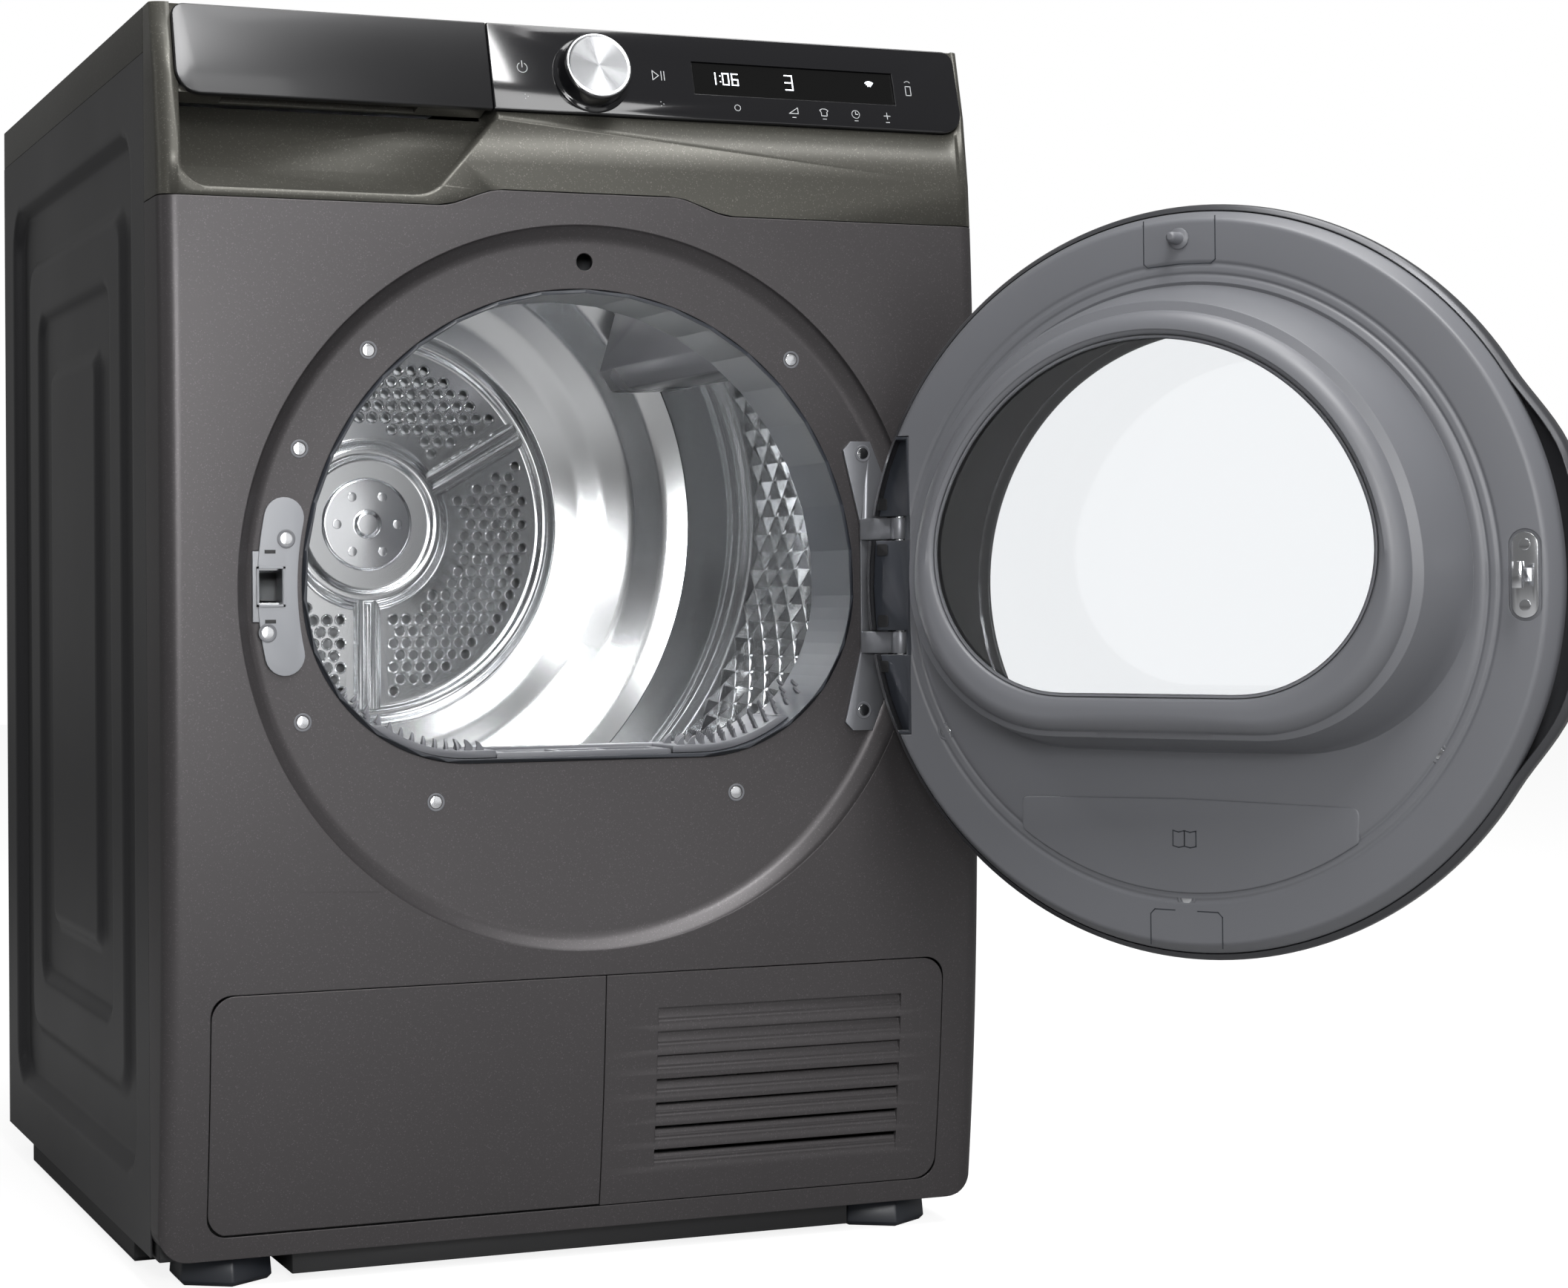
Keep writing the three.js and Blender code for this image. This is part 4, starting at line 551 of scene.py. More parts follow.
def bowedBody(name, z0, z1, inset, back):
    half, face, r = halfWidth - inset, frontY + inset, bow["corner"] - inset
    line = [(-half, back)] + arc(-half + r, face + r, r, math.pi, 1.5 * math.pi, 8)
    line += arc(half - r, face + r, r, 1.5 * math.pi, 2 * math.pi, 8) + [(half, back)]
    rings = []
    steps = math.ceil((z1 - z0) / bow["step"])
    for k in range(steps + 1):
        z = z0 + (z1 - z0) * k / steps
        ring = []
        for x, y in line:
            share = min(max((flangeY - y) / (flangeY - frontY), 0), 1)
            ring.append((x, y + (frontAt(z) - frontY) * share, z))
        rings.append(ring)
    return loft(name, rings)


front = {
    "sheet": 2,
    "foot": 20,  # radius of the two foot corners
    "gap": 0.4,
    "hump": 12,
    "humpHalf": 62,
    "humpFade": 46,
    "draft": 10,
    "hatchMargin": 31,
    "hatchFoot": 37,
    "hatchHead": 198,
    "hatchCorner": 14,
    "hatchSeam": 9,
}
hatchHalf = halfWidth - front["hatchMargin"]
ahead = frontY - 20


def seamLine(shift):
    reach = front["humpHalf"] + front["humpFade"]
    out = [(-halfWidth - 5, seamZ + shift)]
    for i in range(61):
        x = reach * (i / 30 - 1)
        share = min(max((reach - abs(x)) / front["humpFade"], 0), 1)
        out.append((x, seamZ + shift + front["hump"] * share * share * (3 - 2 * share)))
    return out + [(halfWidth + 5, seamZ + shift)]


def recessTool(name, grow):
    floor = recessFloor + grow
    r = recessRadius + grow
    wall = [(0, floor), (r - front["draft"], floor), (r, floor - 9), (r, ahead), (0, ahead)]
    return turned(name, soften(wall, 3.5), 0, recessZ, 192)


def makeFront():
    foot, gap, half = front["foot"], front["gap"], halfWidth
    below = arc(half - foot, bodyFoot + foot, foot, -math.pi / 2, 0, 8)
    below += [(half, bodyFoot + 40), (half + 5, bodyFoot + 40)]
    below += seamLine(-gap)[::-1]
    below += [(-half - 5, bodyFoot + 40), (-half, bodyFoot + 40)]
    below += arc(-half + foot, bodyFoot + foot, foot, math.pi, 1.5 * math.pi, 8)
    outer = bowedBody("lower_front", bodyFoot, seamZ + 30, 0, flangeY)
    carved(outer, ("INTERSECT", pushed("region", below, ahead, flangeY + 5)))
    plug = linked(outer.copy())
    plug.data = outer.data.copy()
    carved(plug, ("INTERSECT", recessTool("dish", front["sheet"])))
    opening = flattened(openingRadius + gap, openingRadius * 0.6 + gap, openingRadius * 0.42, openingZ)
    hatch = roundedBox(-hatchHalf, front["hatchFoot"], hatchHalf, front["hatchHead"], front["hatchCorner"])
    latch = roundedBox(latchX - 13.4, latchZ - 23.7, latchX + 12.4, latchZ + 23.7, 1, 2)
    carved(
        outer,
        ("DIFFERENCE", bowedBody("inner", bodyFoot - 1, seamZ + 31, front["sheet"], flangeY + 1)),
        ("UNION", plug),
        ("DIFFERENCE", recessTool("recess", 0)),
        ("DIFFERENCE", pushed("opening", opening, ahead, flangeY)),
        ("DIFFERENCE", pushed("hatch", hatch, ahead, flangeY)),
        ("DIFFERENCE", pushed("latch", latch, frontY, flangeY)),
        (
            "DIFFERENCE",
            pushed("pinHole", arc(0, doorZ + recessRadius - 25, 6, 0, 1.9 * math.pi, 19), frontY, flangeY),
        ),
    )
    ready(outer, "cabinet", "paint_lower", "paintLower", "front_panel")


makeFront()
print("lower front made")

vent = {
    "slots": 7, "pitch": 16.5, "band": 13.6, "deep": 4.1, "back": 5.4, "left": 39, "right": 33, "wall": 2.5,
    "gap": 0.7,
}


def louvreTools(left, right, middle):  # each cuts in under its lip and runs out to the face below
    tools = []
    for i in range(vent["slots"]):
        top = middle + (i - (vent["slots"] - 1) / 2) * vent["pitch"] + vent["band"] / 2
        section = [(ahead, top)]
        for drop, deep in (
            (0, 1), (0.08, 1), (0.42, 0.52), (0.5, 0.2), (0.62, 0.26), (0.7, 0.1), (0.84, 0.14),
            (0.94, 0.0),
        ):
            z = top - drop * vent["band"]
            section.append((frontAt(z) + vent["deep"] * deep, z))
        section.append((ahead, top - 0.96 * vent["band"]))
        tools.append(("DIFFERENCE", pushed("louvre", section, left, right, "x")))
    return tools


def makeFootPanels():
    gap = vent["gap"]
    half, corner = hatchHalf - gap, front["hatchCorner"] + 2
    outline = roundedBox(-half, front["hatchFoot"] + gap, half, front["hatchHead"] - gap, corner)
    seam = front["hatchSeam"]
    middle = (front["hatchFoot"] + front["hatchHead"]) / 2 - 1
    left, right = seam + vent["left"], hatchHalf - vent["right"]
    low, high = front["hatchFoot"], front["hatchHead"] + 1
    for name, x0, x1, node, body, lift in (
        ("vent_cover", seam + gap / 2, hatchHalf + 1, "vent_panel", "cabinet", 0),
        ("hatch_cover", -hatchHalf - 1, seam - gap / 2, "service_door", "hatch", 1.6),
    ):
        cover = bowedBody(name, bodyFoot, high + 9, 0, flangeY)
        steps = [
            ("INTERSECT", pushed("region", outline, ahead, flangeY)),
            ("INTERSECT", block("side", x0, x1, ahead, flangeY, low + lift, high)),
            ("DIFFERENCE", bowedBody("inner", bodyFoot - 1, high + 10, vent["wall"], flangeY + 1)),
        ]
        if node == "vent_panel":
            backing = bowedBody("backing", bodyFoot, high + 9, 0.4, flangeY)
            field = block("field", left - 4, right + 4, ahead, flangeY, middle - 62, middle + 62)
            behind = bowedBody("behind", bodyFoot - 1, high + 10, vent["back"], flangeY + 1)
            carved(backing, ("INTERSECT", field), ("DIFFERENCE", behind))
            steps += [("UNION", backing)] + louvreTools(left, right, middle)
        carved(cover, *steps)
        ready(cover, body, "paint_lower", "paintLower", node)


makeFootPanels()
print("hatch and vent made")

# ---- side panels: nested fields pressed inwards, with soft slopes ----
sides = {
    "margin": 42, "step": 46, "levels": (8, 3.5, 8, 3.5), "slope": 11, "corner": 34, "pitch": 3.4,
    "sheet": 1.2,
}


def pressDepth(y, z, y0, y1, z0, z1):
    depth = np.zeros_like(y)
    previous = 0.0
    for level, target in enumerate(sides["levels"]):
        m = sides["margin"] + level * sides["step"]
        r = max(sides["corner"] - level * 5, 8)
        halfY, halfZ = (y1 - y0) / 2 - m, (z1 - z0) / 2 - m
        qy = np.abs(y - (y0 + y1) / 2) - halfY + r
        qz = np.abs(z - (z0 + z1) / 2) - halfZ + r
        away = np.hypot(np.maximum(qy, 0), np.maximum(qz, 0)) + np.minimum(np.maximum(qy, qz), 0) - r
        share = np.clip(-away / sides["slope"], 0, 1)
        depth += (target - previous) * share * share * (3 - 2 * share)
        previous = target
    return depth


def makeSide(node, way):
    low, high = span(node)
    y0, y1, z0, z1 = low.y, high.y, low.z, high.z
    ny, nz = (int((b - a) / sides["pitch"]) for a, b in ((y0, y1), (z0, z1)))
    y, z = np.meshgrid(np.linspace(y0, y1, ny + 1), np.linspace(z0, z1, nz + 1), indexing="ij")
    depth = pressDepth(y, z, y0, y1, z0, z1)
    points = []
    for extra in (0, sides["sheet"]):
        x = way * (halfWidth - depth - extra)
        points += list(zip(x.ravel(), y.ravel(), z.ravel()))
    at = lambda layer, i, j: layer * (ny + 1) * (nz + 1) + i * (nz + 1) + j
    faces = []
    for i in range(ny):
        for j in range(nz):
            for layer in (0, 1):
                quad = (at(layer, i, j), at(layer, i + 1, j), at(layer, i + 1, j + 1), at(layer, i, j + 1))
                faces.append(quad if layer else quad[::-1])
    for i in range(ny):
        for j in (0, nz):
            faces.append((at(0, i, j), at(0, i + 1, j), at(1, i + 1, j), at(1, i, j)))
    for j in range(nz):
        for i in (0, ny):
            faces.append((at(0, i, j), at(0, i, j + 1), at(1, i, j + 1), at(1, i, j)))
    made = meshObject(node.replace("panel", "sheet"), points, faces, 50)
    ready(made, "cabinet", "paint_side", "paintSide", node)


makeSide("left_side_panel", -1)
makeSide("right_side_panel", 1)
print("sides made")

# ---- drum ----
drum = {
    "wall": 1.4,
    "sides": 120,
    "front": -222,
    "seam": 194,
    "back": 246,
    "facetFrom": -194,
    "facetTo": 52,
    "facetRows": 17,
    "facetHeight": 4.2,
    "lip": 30,
    "bead": 5,
}


def makeDrumShell():
    r, wall = drumRadius, drum["wall"]
    inner = r - wall
    lip = openingRadius + drum["lip"]
    y0 = drum["front"]
    outside = [
        (inner, drum["seam"]), (r, drum["seam"]), (r, 84), (r - drum["bead"], 76), (r - drum["bead"], 68),
        (r, 60),
    ]
    outside += [(r, y0 + 4), (r - 8, y0), (lip, y0)]
    lead = [(lip, y0 + wall), (inner - 7, y0 + wall), (inner, y0 + 5)]
    tail = [
        (inner, 58), (inner - 5.5, 66), (inner - 5.5, 78), (inner, 86), (inner, 96), (inner - 3, 101),
        (inner, 106), (inner, 192),
    ]
    barrel = turned(
        "drum_barrel", soften(outside, 3) + soften(lead + tail, 3), 0, drumZ, drum["sides"], smooth=24,
    )
    spinUV(barrel, 0, drumZ)
    ready(barrel, "drum", "stainless", "drumSteel", "drum_shell")


def makeFacets():  # a closed band of four-sided points round the inside
    inner = drumRadius - drum["wall"]
    rows, count = drum["facetRows"], drum["sides"]
    pitch = (drum["facetTo"] - drum["facetFrom"]) / rows
    turns = [2 * math.pi * i / count for i in range(count)]
    rings = []
    for k in range(rows + 1):
        raised = [0 < k < rows and (i + k) % 2 for i in range(count)]
        reach = [inner - (drum["facetHeight"] if up else 0.4) for up in raised]
        y = drum["facetFrom"] + k * pitch
        rings.append([(r * math.cos(a), y, drumZ + r * math.sin(a)) for a, r in zip(turns, reach)])
    r = inner + 0.6
    for y in (drum["facetTo"], drum["facetFrom"]):
        rings.append([(r * math.cos(a), y, drumZ + r * math.sin(a)) for a in turns])
    points = [p for ring in rings for p in ring]
    faces = []
    for k in range(len(rings)):
        nextK = (k + 1) % len(rings)
        for i in range(count):
            j = (i + 1) % count
            a, b, c, d = k * count + i, k * count + j, nextK * count + j, nextK * count + i
            if k >= rows:
                faces.append((a, b, c, d))
            elif (i + k) % 2:
                faces += [(a, b, d), (b, c, d)]
            else:
                faces += [(a, b, c), (a, c, d)]
    band = meshObject("drum_embossing", points, faces, 12)
    ready(band, "drum", "stainless", "facetSteel")


makeDrumShell()
makeFacets()

back = {
    "disc": 0.615,
    "holeRadius": 3.9,
    "pitch": 11.8,
    "inner": 78,
    "outer": 152,
    "spokeClear": 20,
    "spokes": (30, 150, 270),
    "hub": 40,
    "rivets": 6,
    "rivetRing": 27,
}


def backHoles():
    places = []
    pitch = back["pitch"]
    for row in range(-16, 17):
        for column in range(-16, 17):
            x = (column + (row % 2) / 2) * pitch
            z = row * pitch * math.sqrt(3) / 2
            r = math.hypot(x, z)
            if not back["inner"] + 5 < r < back["outer"] - 5:
                continue
            clear = True
            for spoke in back["spokes"]:
                a = math.radians(spoke)
                along = x * math.cos(a) + z * math.sin(a)
                off = abs(-x * math.sin(a) + z * math.cos(a))
                if along > 0 and off < back["spokeClear"]:
                    clear = False
            if clear:
                places.append((x, z))
    return places


def makeDrumBack():
    disc = drumRadius * back["disc"]
    inner = drumRadius - drum["wall"]
    y = drum["back"] - drum["wall"]
    face = [
        (0, y - 2), (56, y - 2), (60, y - 4.5), (67, y - 4.5), (72, y), (156, y), (160, y - 4),
        (166, y - 4),
    ]
    face += [
        (disc, y), (disc + 22, y - 10), (disc + 40, y - 16), (drumRadius - 44, y - 27),
        (drumRadius - 20, drum["seam"] + 6),
    ]
    face += [(inner - 0.4, drum["seam"] - 2)]
    rear = [
        (inner - 0.4, drum["seam"]), (drumRadius - 19, drum["seam"] + 7.4), (drumRadius - 43, y - 25.6),
        (disc + 1, y + 1.4), (0, y + 1.4),
    ]
    dish = turned("drum_rear", soften(face, 4) + rear, 0, drumZ, 144)
    cutter = pushed("punch", arc(0, 0, back["holeRadius"], 0, 2 * math.pi * 9 / 10, 9), -8, 8, "z")
    rim = turned("rim", [(4.0, 0.6), (4.5, -0.5), (5.3, 0.1), (5.5, 0.6)], 0, 0, 12)
    rim.data.transform(Matrix.Rotation(math.radians(-90), 4, "X"))
    holes = backHoles()
    punches = setOut("punches", cutter, [((x, y, drumZ + z), (0, 1, 0), 0) for x, z in holes], "steel")
    tidyMesh(punches.data)
    spokes = []
    for spoke in back["spokes"]:
        a = math.radians(spoke)
        bar = soften([(-13, 1.2), (-9, -4.2), (-3, -4.2), (0, -1.6), (3, -4.2), (9, -4.2), (13, 1.2)], 2.5)
        rings = []
        for along in (64, 158):
            rings.append(
                [
                    (
                        along * math.cos(a) - off * math.sin(a), y + lift,
                        drumZ + along * math.sin(a) + off * math.cos(a),
                    )
                    for off, lift in bar
                ]
            )
        spokes.append(("UNION", loft("spoke", rings)))
    carved(dish, *spokes, ("DIFFERENCE", punches))
    ready(dish, "drum", "stainless", "steel", "drum_back")
    rims = setOut(
        "drum_hole_rims", rim, [((x, y - 0.5, drumZ + z), (0, -1, 0), 0) for x, z in holes], "steel",
    )
    ready(rims, "drum", "stainless", "steel")
    hub = turned(
        "drum_hub_plate",
        soften(
            [
                (0, y - 6), (9, y - 6), (12, y - 4.4), (back["hub"] - 2, y - 4.4), (back["hub"], y - 3.4),
                (back["hub"], y - 1.9), (0, y - 1.9),
            ],
            1,
        ),
        0,
        drumZ,
        96,
    )
    ready(hub, "drum", "stainless", "bright")
    rivet = turned(
        "rivet", soften([(0, -2.2), (2.6, -2.0), (3.8, -0.6), (4.2, 0.4), (0, 0.4)], 0.6), 0, 0, 20,
    )
    rivet.data.transform(Matrix.Rotation(math.radians(90), 4, "X"))
    ringPlaces = []
    for i in range(back["rivets"]):
        a = 2 * math.pi * i / back["rivets"]
        ringPlaces.append(
            (
                (back["rivetRing"] * math.cos(a), y - 4.4, drumZ + back["rivetRing"] * math.sin(a)),
                (0, -1, 0), 0,
            )
        )
    rivets = setOut("drum_hub_rivets", rivet, ringPlaces, "bright")
    ready(rivets, "drum", "stainless", "bright")
    for used in (cutter, rim, rivet):
        bpy.data.objects.remove(used)


makeDrumBack()
print("drum made")

# ---- door ----
door = {
    "shroudInset": 58, "shroudDepth": 60, "windowInset": 92, "taper": 0.095, "lip": 13, "wall": 2.2,
    "count": 240,
}


def starRadius(outline, z, angles):  # distance from (0, z) to the outline along each angle
    closed = outline + outline[:1]
    outline = [
        (
            a[0] + (b[0] - a[0]) * k / 16, a[1] + (b[1] - a[1]) * k / 16,
        ) for a, b in zip(closed, closed[1:]) for k in range(16)
    ]
    turn = np.array([math.atan2(p[1] - z, p[0]) for p in outline])
    reach = np.array([math.hypot(p[0], p[1] - z) for p in outline])
    order = np.argsort(turn)
    return np.interp(angles, turn[order], reach[order], period=2 * math.pi)


def makeDoorInner():
    angles = np.linspace(-math.pi, math.pi, door["count"], endpoint=False)
    shroudZ = openingZ - 1
    shroudR = doorRadius - door["shroudInset"]
    windowR = doorRadius - door["windowInset"]
    base = starRadius(flattened(shroudR, shroudR * 0.575, shroudR * 0.41, shroudZ), shroudZ, angles)
    glass = starRadius(flattened(windowR, windowR * 0.487, windowR * 0.385, shroudZ), shroudZ, angles)
    rings = []

    def circle(r, y):
        rings.append([(r * math.cos(a), y, doorZ + r * math.sin(a)) for a in angles])

    def shaped(radii, y):
        rings.append([(r * math.cos(a), y, shroudZ + r * math.sin(a)) for r, a in zip(radii, angles)])

    rim = [
        (doorRadius - 5, rimY - 17.8), (doorRadius - 5, rimY - 11.8), (doorRadius - 11.5, rimY),
        (209, rimY),
    ]
    rim += [
        (207, rimY - 1.2), (205, rimY), (201.5, rimY), (200, rimY - 1.0), (198.5, rimY + 0.2),
        (195, rimY + 1.4),
    ]
    for r, y in soften(rim, 2.5, 4):
        circle(r, y)
    back0 = rimY - 0.8
    foot = np.minimum(base + 4, 191)
    shaped(foot, rimY + 0.3)
    top = 1 - door["taper"]
    wallTop = door["shroudDepth"] - door["lip"]
    for k in range(1, 9):
        share = k / 8
        rise = wallTop * share
        shaped(
            base * (1 - door["taper"] * (rise / door["shroudDepth"]) ** 1.7) + 3 * (1 - share) ** 4,
            back0 + rise,
        )
    edge = base * top
    for k in range(1, 9):  # the rounded lip between the wall and the window
        a = math.pi / 2 * k / 8
        shaped(edge - door["lip"] * (1 - math.cos(a)), back0 + wallTop + door["lip"] * math.sin(a))
    crest = back0 + door["shroudDepth"]
    inside = edge - door["lip"]
    shaped(inside * 0.5 + (glass + 4) * 0.5, crest - 0.4)
    for k in range(1, 5):
        a = math.pi / 2 * k / 4
        shaped(glass + 4 * (1 - math.sin(a)), crest - 0.4 - 4 * (1 - math.cos(a)))
    shaped(glass - 0.5, crest - 2.6)
    frameMesh = loft("door_inner_bowl", rings, "open", 40)
    wall = frameMesh.modifiers.new("wall", "SOLIDIFY")
    wall.thickness = door["wall"] * mm
    wall.offset = -1
    baked(frameMesh)
    tidyMesh(frameMesh.data, 40)
    pad = math.sqrt(doorRadius**2 - hingeX**2) + 1
    striker = roundedBox(latchX - 10, latchZ - 28, latchX + 10, latchZ + 28, 9.8)
    pocket = block("pocket", hingeX - 22, doorRadius + 5, rimY - 30, rimY + 3, doorZ - pad, doorZ + pad)
    carved(
        frameMesh,
        ("DIFFERENCE", pocket),
        ("DIFFERENCE", pushed("strikerBed", striker, rimY - 1.4, rimY + 2)),
        smooth=40,
    )
    ready(frameMesh, "door", "grey_plastic", "greyPlastic", "door_inner_frame")


makeDoorInner()


def bulge(x, z):
    r = math.hypot(x, z)
    start = doorRadius - 45
    if r <= start:
        return x, z
    angle = math.atan2(z, x)
    off = abs(math.atan2(math.sin(angle - math.pi), math.cos(angle - math.pi)))
    share = min(max((math.radians(32) - off) / math.radians(16), 0), 1)
    grown = r + 10 * share * share * (3 - 2 * share) * min((r - start) / 40, 1)
    return x * grown / r, z * grown / r


def makeDoorOuter():
    lipY = rimY - 12.3
    faceY = -344.5
    pane = doorRadius - door["windowInset"] + 12
    line = [
        (doorRadius - 4.5, lipY), (doorRadius, lipY - 3.5), (doorRadius, lipY - 12.5),
        (doorRadius - 5, lipY - 23.5),
    ]
    line += [(doorRadius - 18, lipY - 32.5), (doorRadius - 48, faceY + 2), (pane, faceY), (pane, faceY + 3)]
    line += [(doorRadius - 48, faceY + 5), (doorRadius - 19, lipY - 29.5), (doorRadius - 8, lipY - 21.5)]
    line += [(doorRadius - 3, lipY - 12.5), (doorRadius - 3, lipY - 4), (doorRadius - 4.5, lipY)]
    shell = turned("door_outer_case", soften(line, 5)[:-1], 0, doorZ, 192, bulge, 40)
    armAngle = math.atan2(recessFloor - 2 - hingeY, -16.3)
    sweep = [(hingeX, hingeY)] + [
        (hingeX + x, hingeY + y) for x, y in arc(
            0, 0, 34, armAngle - math.radians(163.2), armAngle + math.radians(20), 40,
        )
    ]
    tools = []
    for z in (doorZ - 40, doorZ + 40):
        tools.append(("DIFFERENCE", pushed("sweep", sweep, z - 8.5, z + 8.5, "z")))
    carved(shell, *tools, smooth=40)
    ready(shell, "door", "dark_plastic", "doorShell", "door_outer_shell")


makeDoorOuter()
print("door made")

# ---- gloss panels of the drawer and the controls ----
panels = {
    "proud": 1.2, "thick": 4, "foot": 17, "head": 9, "seam": -65.8, "gap": 0.5, "edge": 1.1, "left": 13,
    "right": 6, "inset": 0.3, "headGap": 0.7, "window": (19.7, 44.7),
}
panelPlace = Matrix.Translation(
    (0, frontAt(panelZ) * mm, panelZ * mm)
) @ Matrix.Rotation(-panelTilt, 4, "X")


def panelShape(x0, x1, roundLeft, roundRight):
    low, high = panels["inset"], layout["panelHeight"] / math.cos(panelTilt) - panels["headGap"]
    quarter = math.pi / 2
    foot, head = panels["foot"], panels["head"]
    out = arc(x1 - foot, low + foot, foot, -quarter, 0, 10) if roundRight else [(x1, low)]
    out += arc(x1 - head, high - head, head, 0, quarter, 8) if roundRight else [(x1, high)]
    out += arc(x0 + head, high - head, head, quarter, 2 * quarter, 8) if roundLeft else [(x0, high)]
    out += arc(x0 + foot, low + foot, foot, 2 * quarter, 3 * quarter, 10) if roundLeft else [(x0, low)]
    return out


def softenEdges(piece, width, angle=40):
    bevelled(piece, width, 3, angle)
    tidyMesh(piece.data, 40)
    return piece


def makePanels():
    left, right = -halfWidth + panels["left"] + panels["inset"], halfWidth - panels["right"] - panels["inset"]
    seam, gap = panels["seam"], panels["gap"] / 2
    drawer = pushed(
        "drawer_gloss", panelShape(left, seam - gap, True, False), -panels["proud"], panels["thick"],
    )
    softenEdges(drawer, panels["edge"])
    control = pushed(
        "control_gloss", panelShape(seam + gap, right, False, True), -panels["proud"], panels["thick"],
    )
    softenEdges(control, panels["edge"])
    low, high = span("display_window")
    recess = block("displayRecess", low.x - 0.4, high.x + 0.4, -3, 1.6, *panels["window"])
    carved(control, ("DIFFERENCE", recess), smooth=40)
    for piece in (drawer, control):
        piece.data.transform(panelPlace)
    ready(drawer, "drawer", "gloss_black", "satinBlack", "drawer_front")
    ready(control, "cabinet", "gloss_black", "glossBlack", "control_panel")


makePanels()
print("gloss panels made")

# ---- knob ----
knob = {"foot": 28, "body": 24.6, "reach": 18, "face": 23.4, "faceRound": 0.9}


def makeKnob():
    joint = joints["knob_turn"]
    place = Matrix.Translation(joint["pos_m"]) @ Matrix.Rotation(-panelTilt, 4, "X")
    reach, face = knob["reach"], knob["face"]
    side = [(0, -0.6), (knob["foot"], -0.6), (knob["foot"], -2.6), (knob["body"] + 0.4, -3.6)]
    side += [(knob["body"], 2.0 - reach), (face + 0.3, 0.8 - reach), (0, 0.8 - reach)]
    body = turned("knob_body", soften(side, knob["faceRound"]), 0, 0)
    cap = [
        (0, 0.4 - reach), (0.5, 0.4 - reach), (face - 2.2, 0.1 - reach), (face - 1, -reach - 0.3),
        (face, -reach), (face, 1 - reach), (0, 1 - reach),
    ]
    spun = turned("knob_face", soften(cap, 0.5), 0, 0, 160, smooth=45)
    spinUV(spun, 0, 0)
    for piece in (body, spun):
        piece.data.transform(place)
    ready(body, "knob", "gloss_black", "glossBlack", "programme_knob")
    ready(spun, "knob", "bright_metal", "spun")


makeKnob()
print("knob made")

# ---- screws ----
screw = {
    "radius": 4.2,
    "height": 2.4,
    "slot": 1.1,
    "washer": 6.2,
    "rim": [(155, 622), (-155, 622), (-203, 555.6), (-202, 374.6), (110, 319), (-110, 319)],
    "bracket": [(209, 556.5, 0.5), (208, 374.4, 1.1)],
    "latch": [(-213, 496, 0.2), (-226, 434, 0.7)],
    "door": [(176, 362), (-168, 355), (0, 257)],
    "strikerHalf": 18.5,
}


def makeScrewHead():
    r, h = screw["radius"], screw["height"]
    dome = [(0, -h), (r * 0.45, -h * 0.97), (r * 0.85, -h * 0.7), (r, -h * 0.25), (r, 0.3), (0, 0.3)]
    head = turned("screwHead", soften(dome, 0.5, 3), 0, 0, 28)
    slot, deep = screw["slot"] / 2, -h - 1
    cross = [
        ("DIFFERENCE", block("slotA", -r * 0.55, r * 0.55, deep, 0.9 - h, -slot, slot)),
        ("DIFFERENCE", block("slotB", -slot, slot, deep, 0.9 - h, -r * 0.55, r * 0.55)),
    ]
    carved(head, *cross)
    ring = soften(
        [(r + 0.5, 0.3), (r + 0.5, -0.5), (screw["washer"] - 0.4, -0.7), (screw["washer"], 0.3)], 0.3, 3,
    )
    washer = turned("washer", ring, 0, 0, 28)
    for piece in (head, washer):
        piece.data.transform(Matrix.Rotation(math.radians(90), 4, "X"))
    return head, washer


def placeScrews():
    head, washer = makeScrewHead()
    towards, off = (0, -1, 0), (0, 1, 0)
    floor = recessFloor
    cabinet = [((x, floor, z), towards, 0.3 * i) for i, (x, z) in enumerate(screw["rim"])]
    cabinet += [((x, floor - 2.7, z), towards, twist) for x, z, twist in screw["bracket"]]
    cabinet += [((x, floor - 2.4, z), towards, twist) for x, z, twist in screw["latch"]]
    heads = setOut("cabinet_screws", head, cabinet, "bright")
    ready(heads, "cabinet", "bright_metal", "bright")
    rings = setOut("cabinet_screw_rings", washer, cabinet, "greyPlastic")
    ready(rings, "cabinet", "grey_plastic", "greyPlastic")
    doorSpots = [((x, rimY - 0.6, z), off, 0.4 * i) for i, (x, z) in enumerate(screw["door"])]
    doorSpots += [
        ((latchX, rimY + 0.6, latchZ + side), off, 0.3)
        for side in (-screw["strikerHalf"], screw["strikerHalf"])
    ]
    doorHeads = setOut("door_screws", head, doorSpots, "bright", 0.85)
    ready(doorHeads, "door", "bright_metal", "bright")
    doorRings = setOut("door_screw_rings", washer, doorSpots[:3], "greyPlastic")
    ready(doorRings, "door", "grey_plastic", "greyPlastic")
    for used in (head, washer):
        bpy.data.objects.remove(used)


placeScrews()
print("screws set")

# ---- black squares of painted shade for the holes in the hinge pad, the frame of the latch plate, and black strokes of painted shade for its slots ----
holes = {"half": 4.2, "corner": 1.6, "spots": (57, 25, -25, -57), "x": 10}


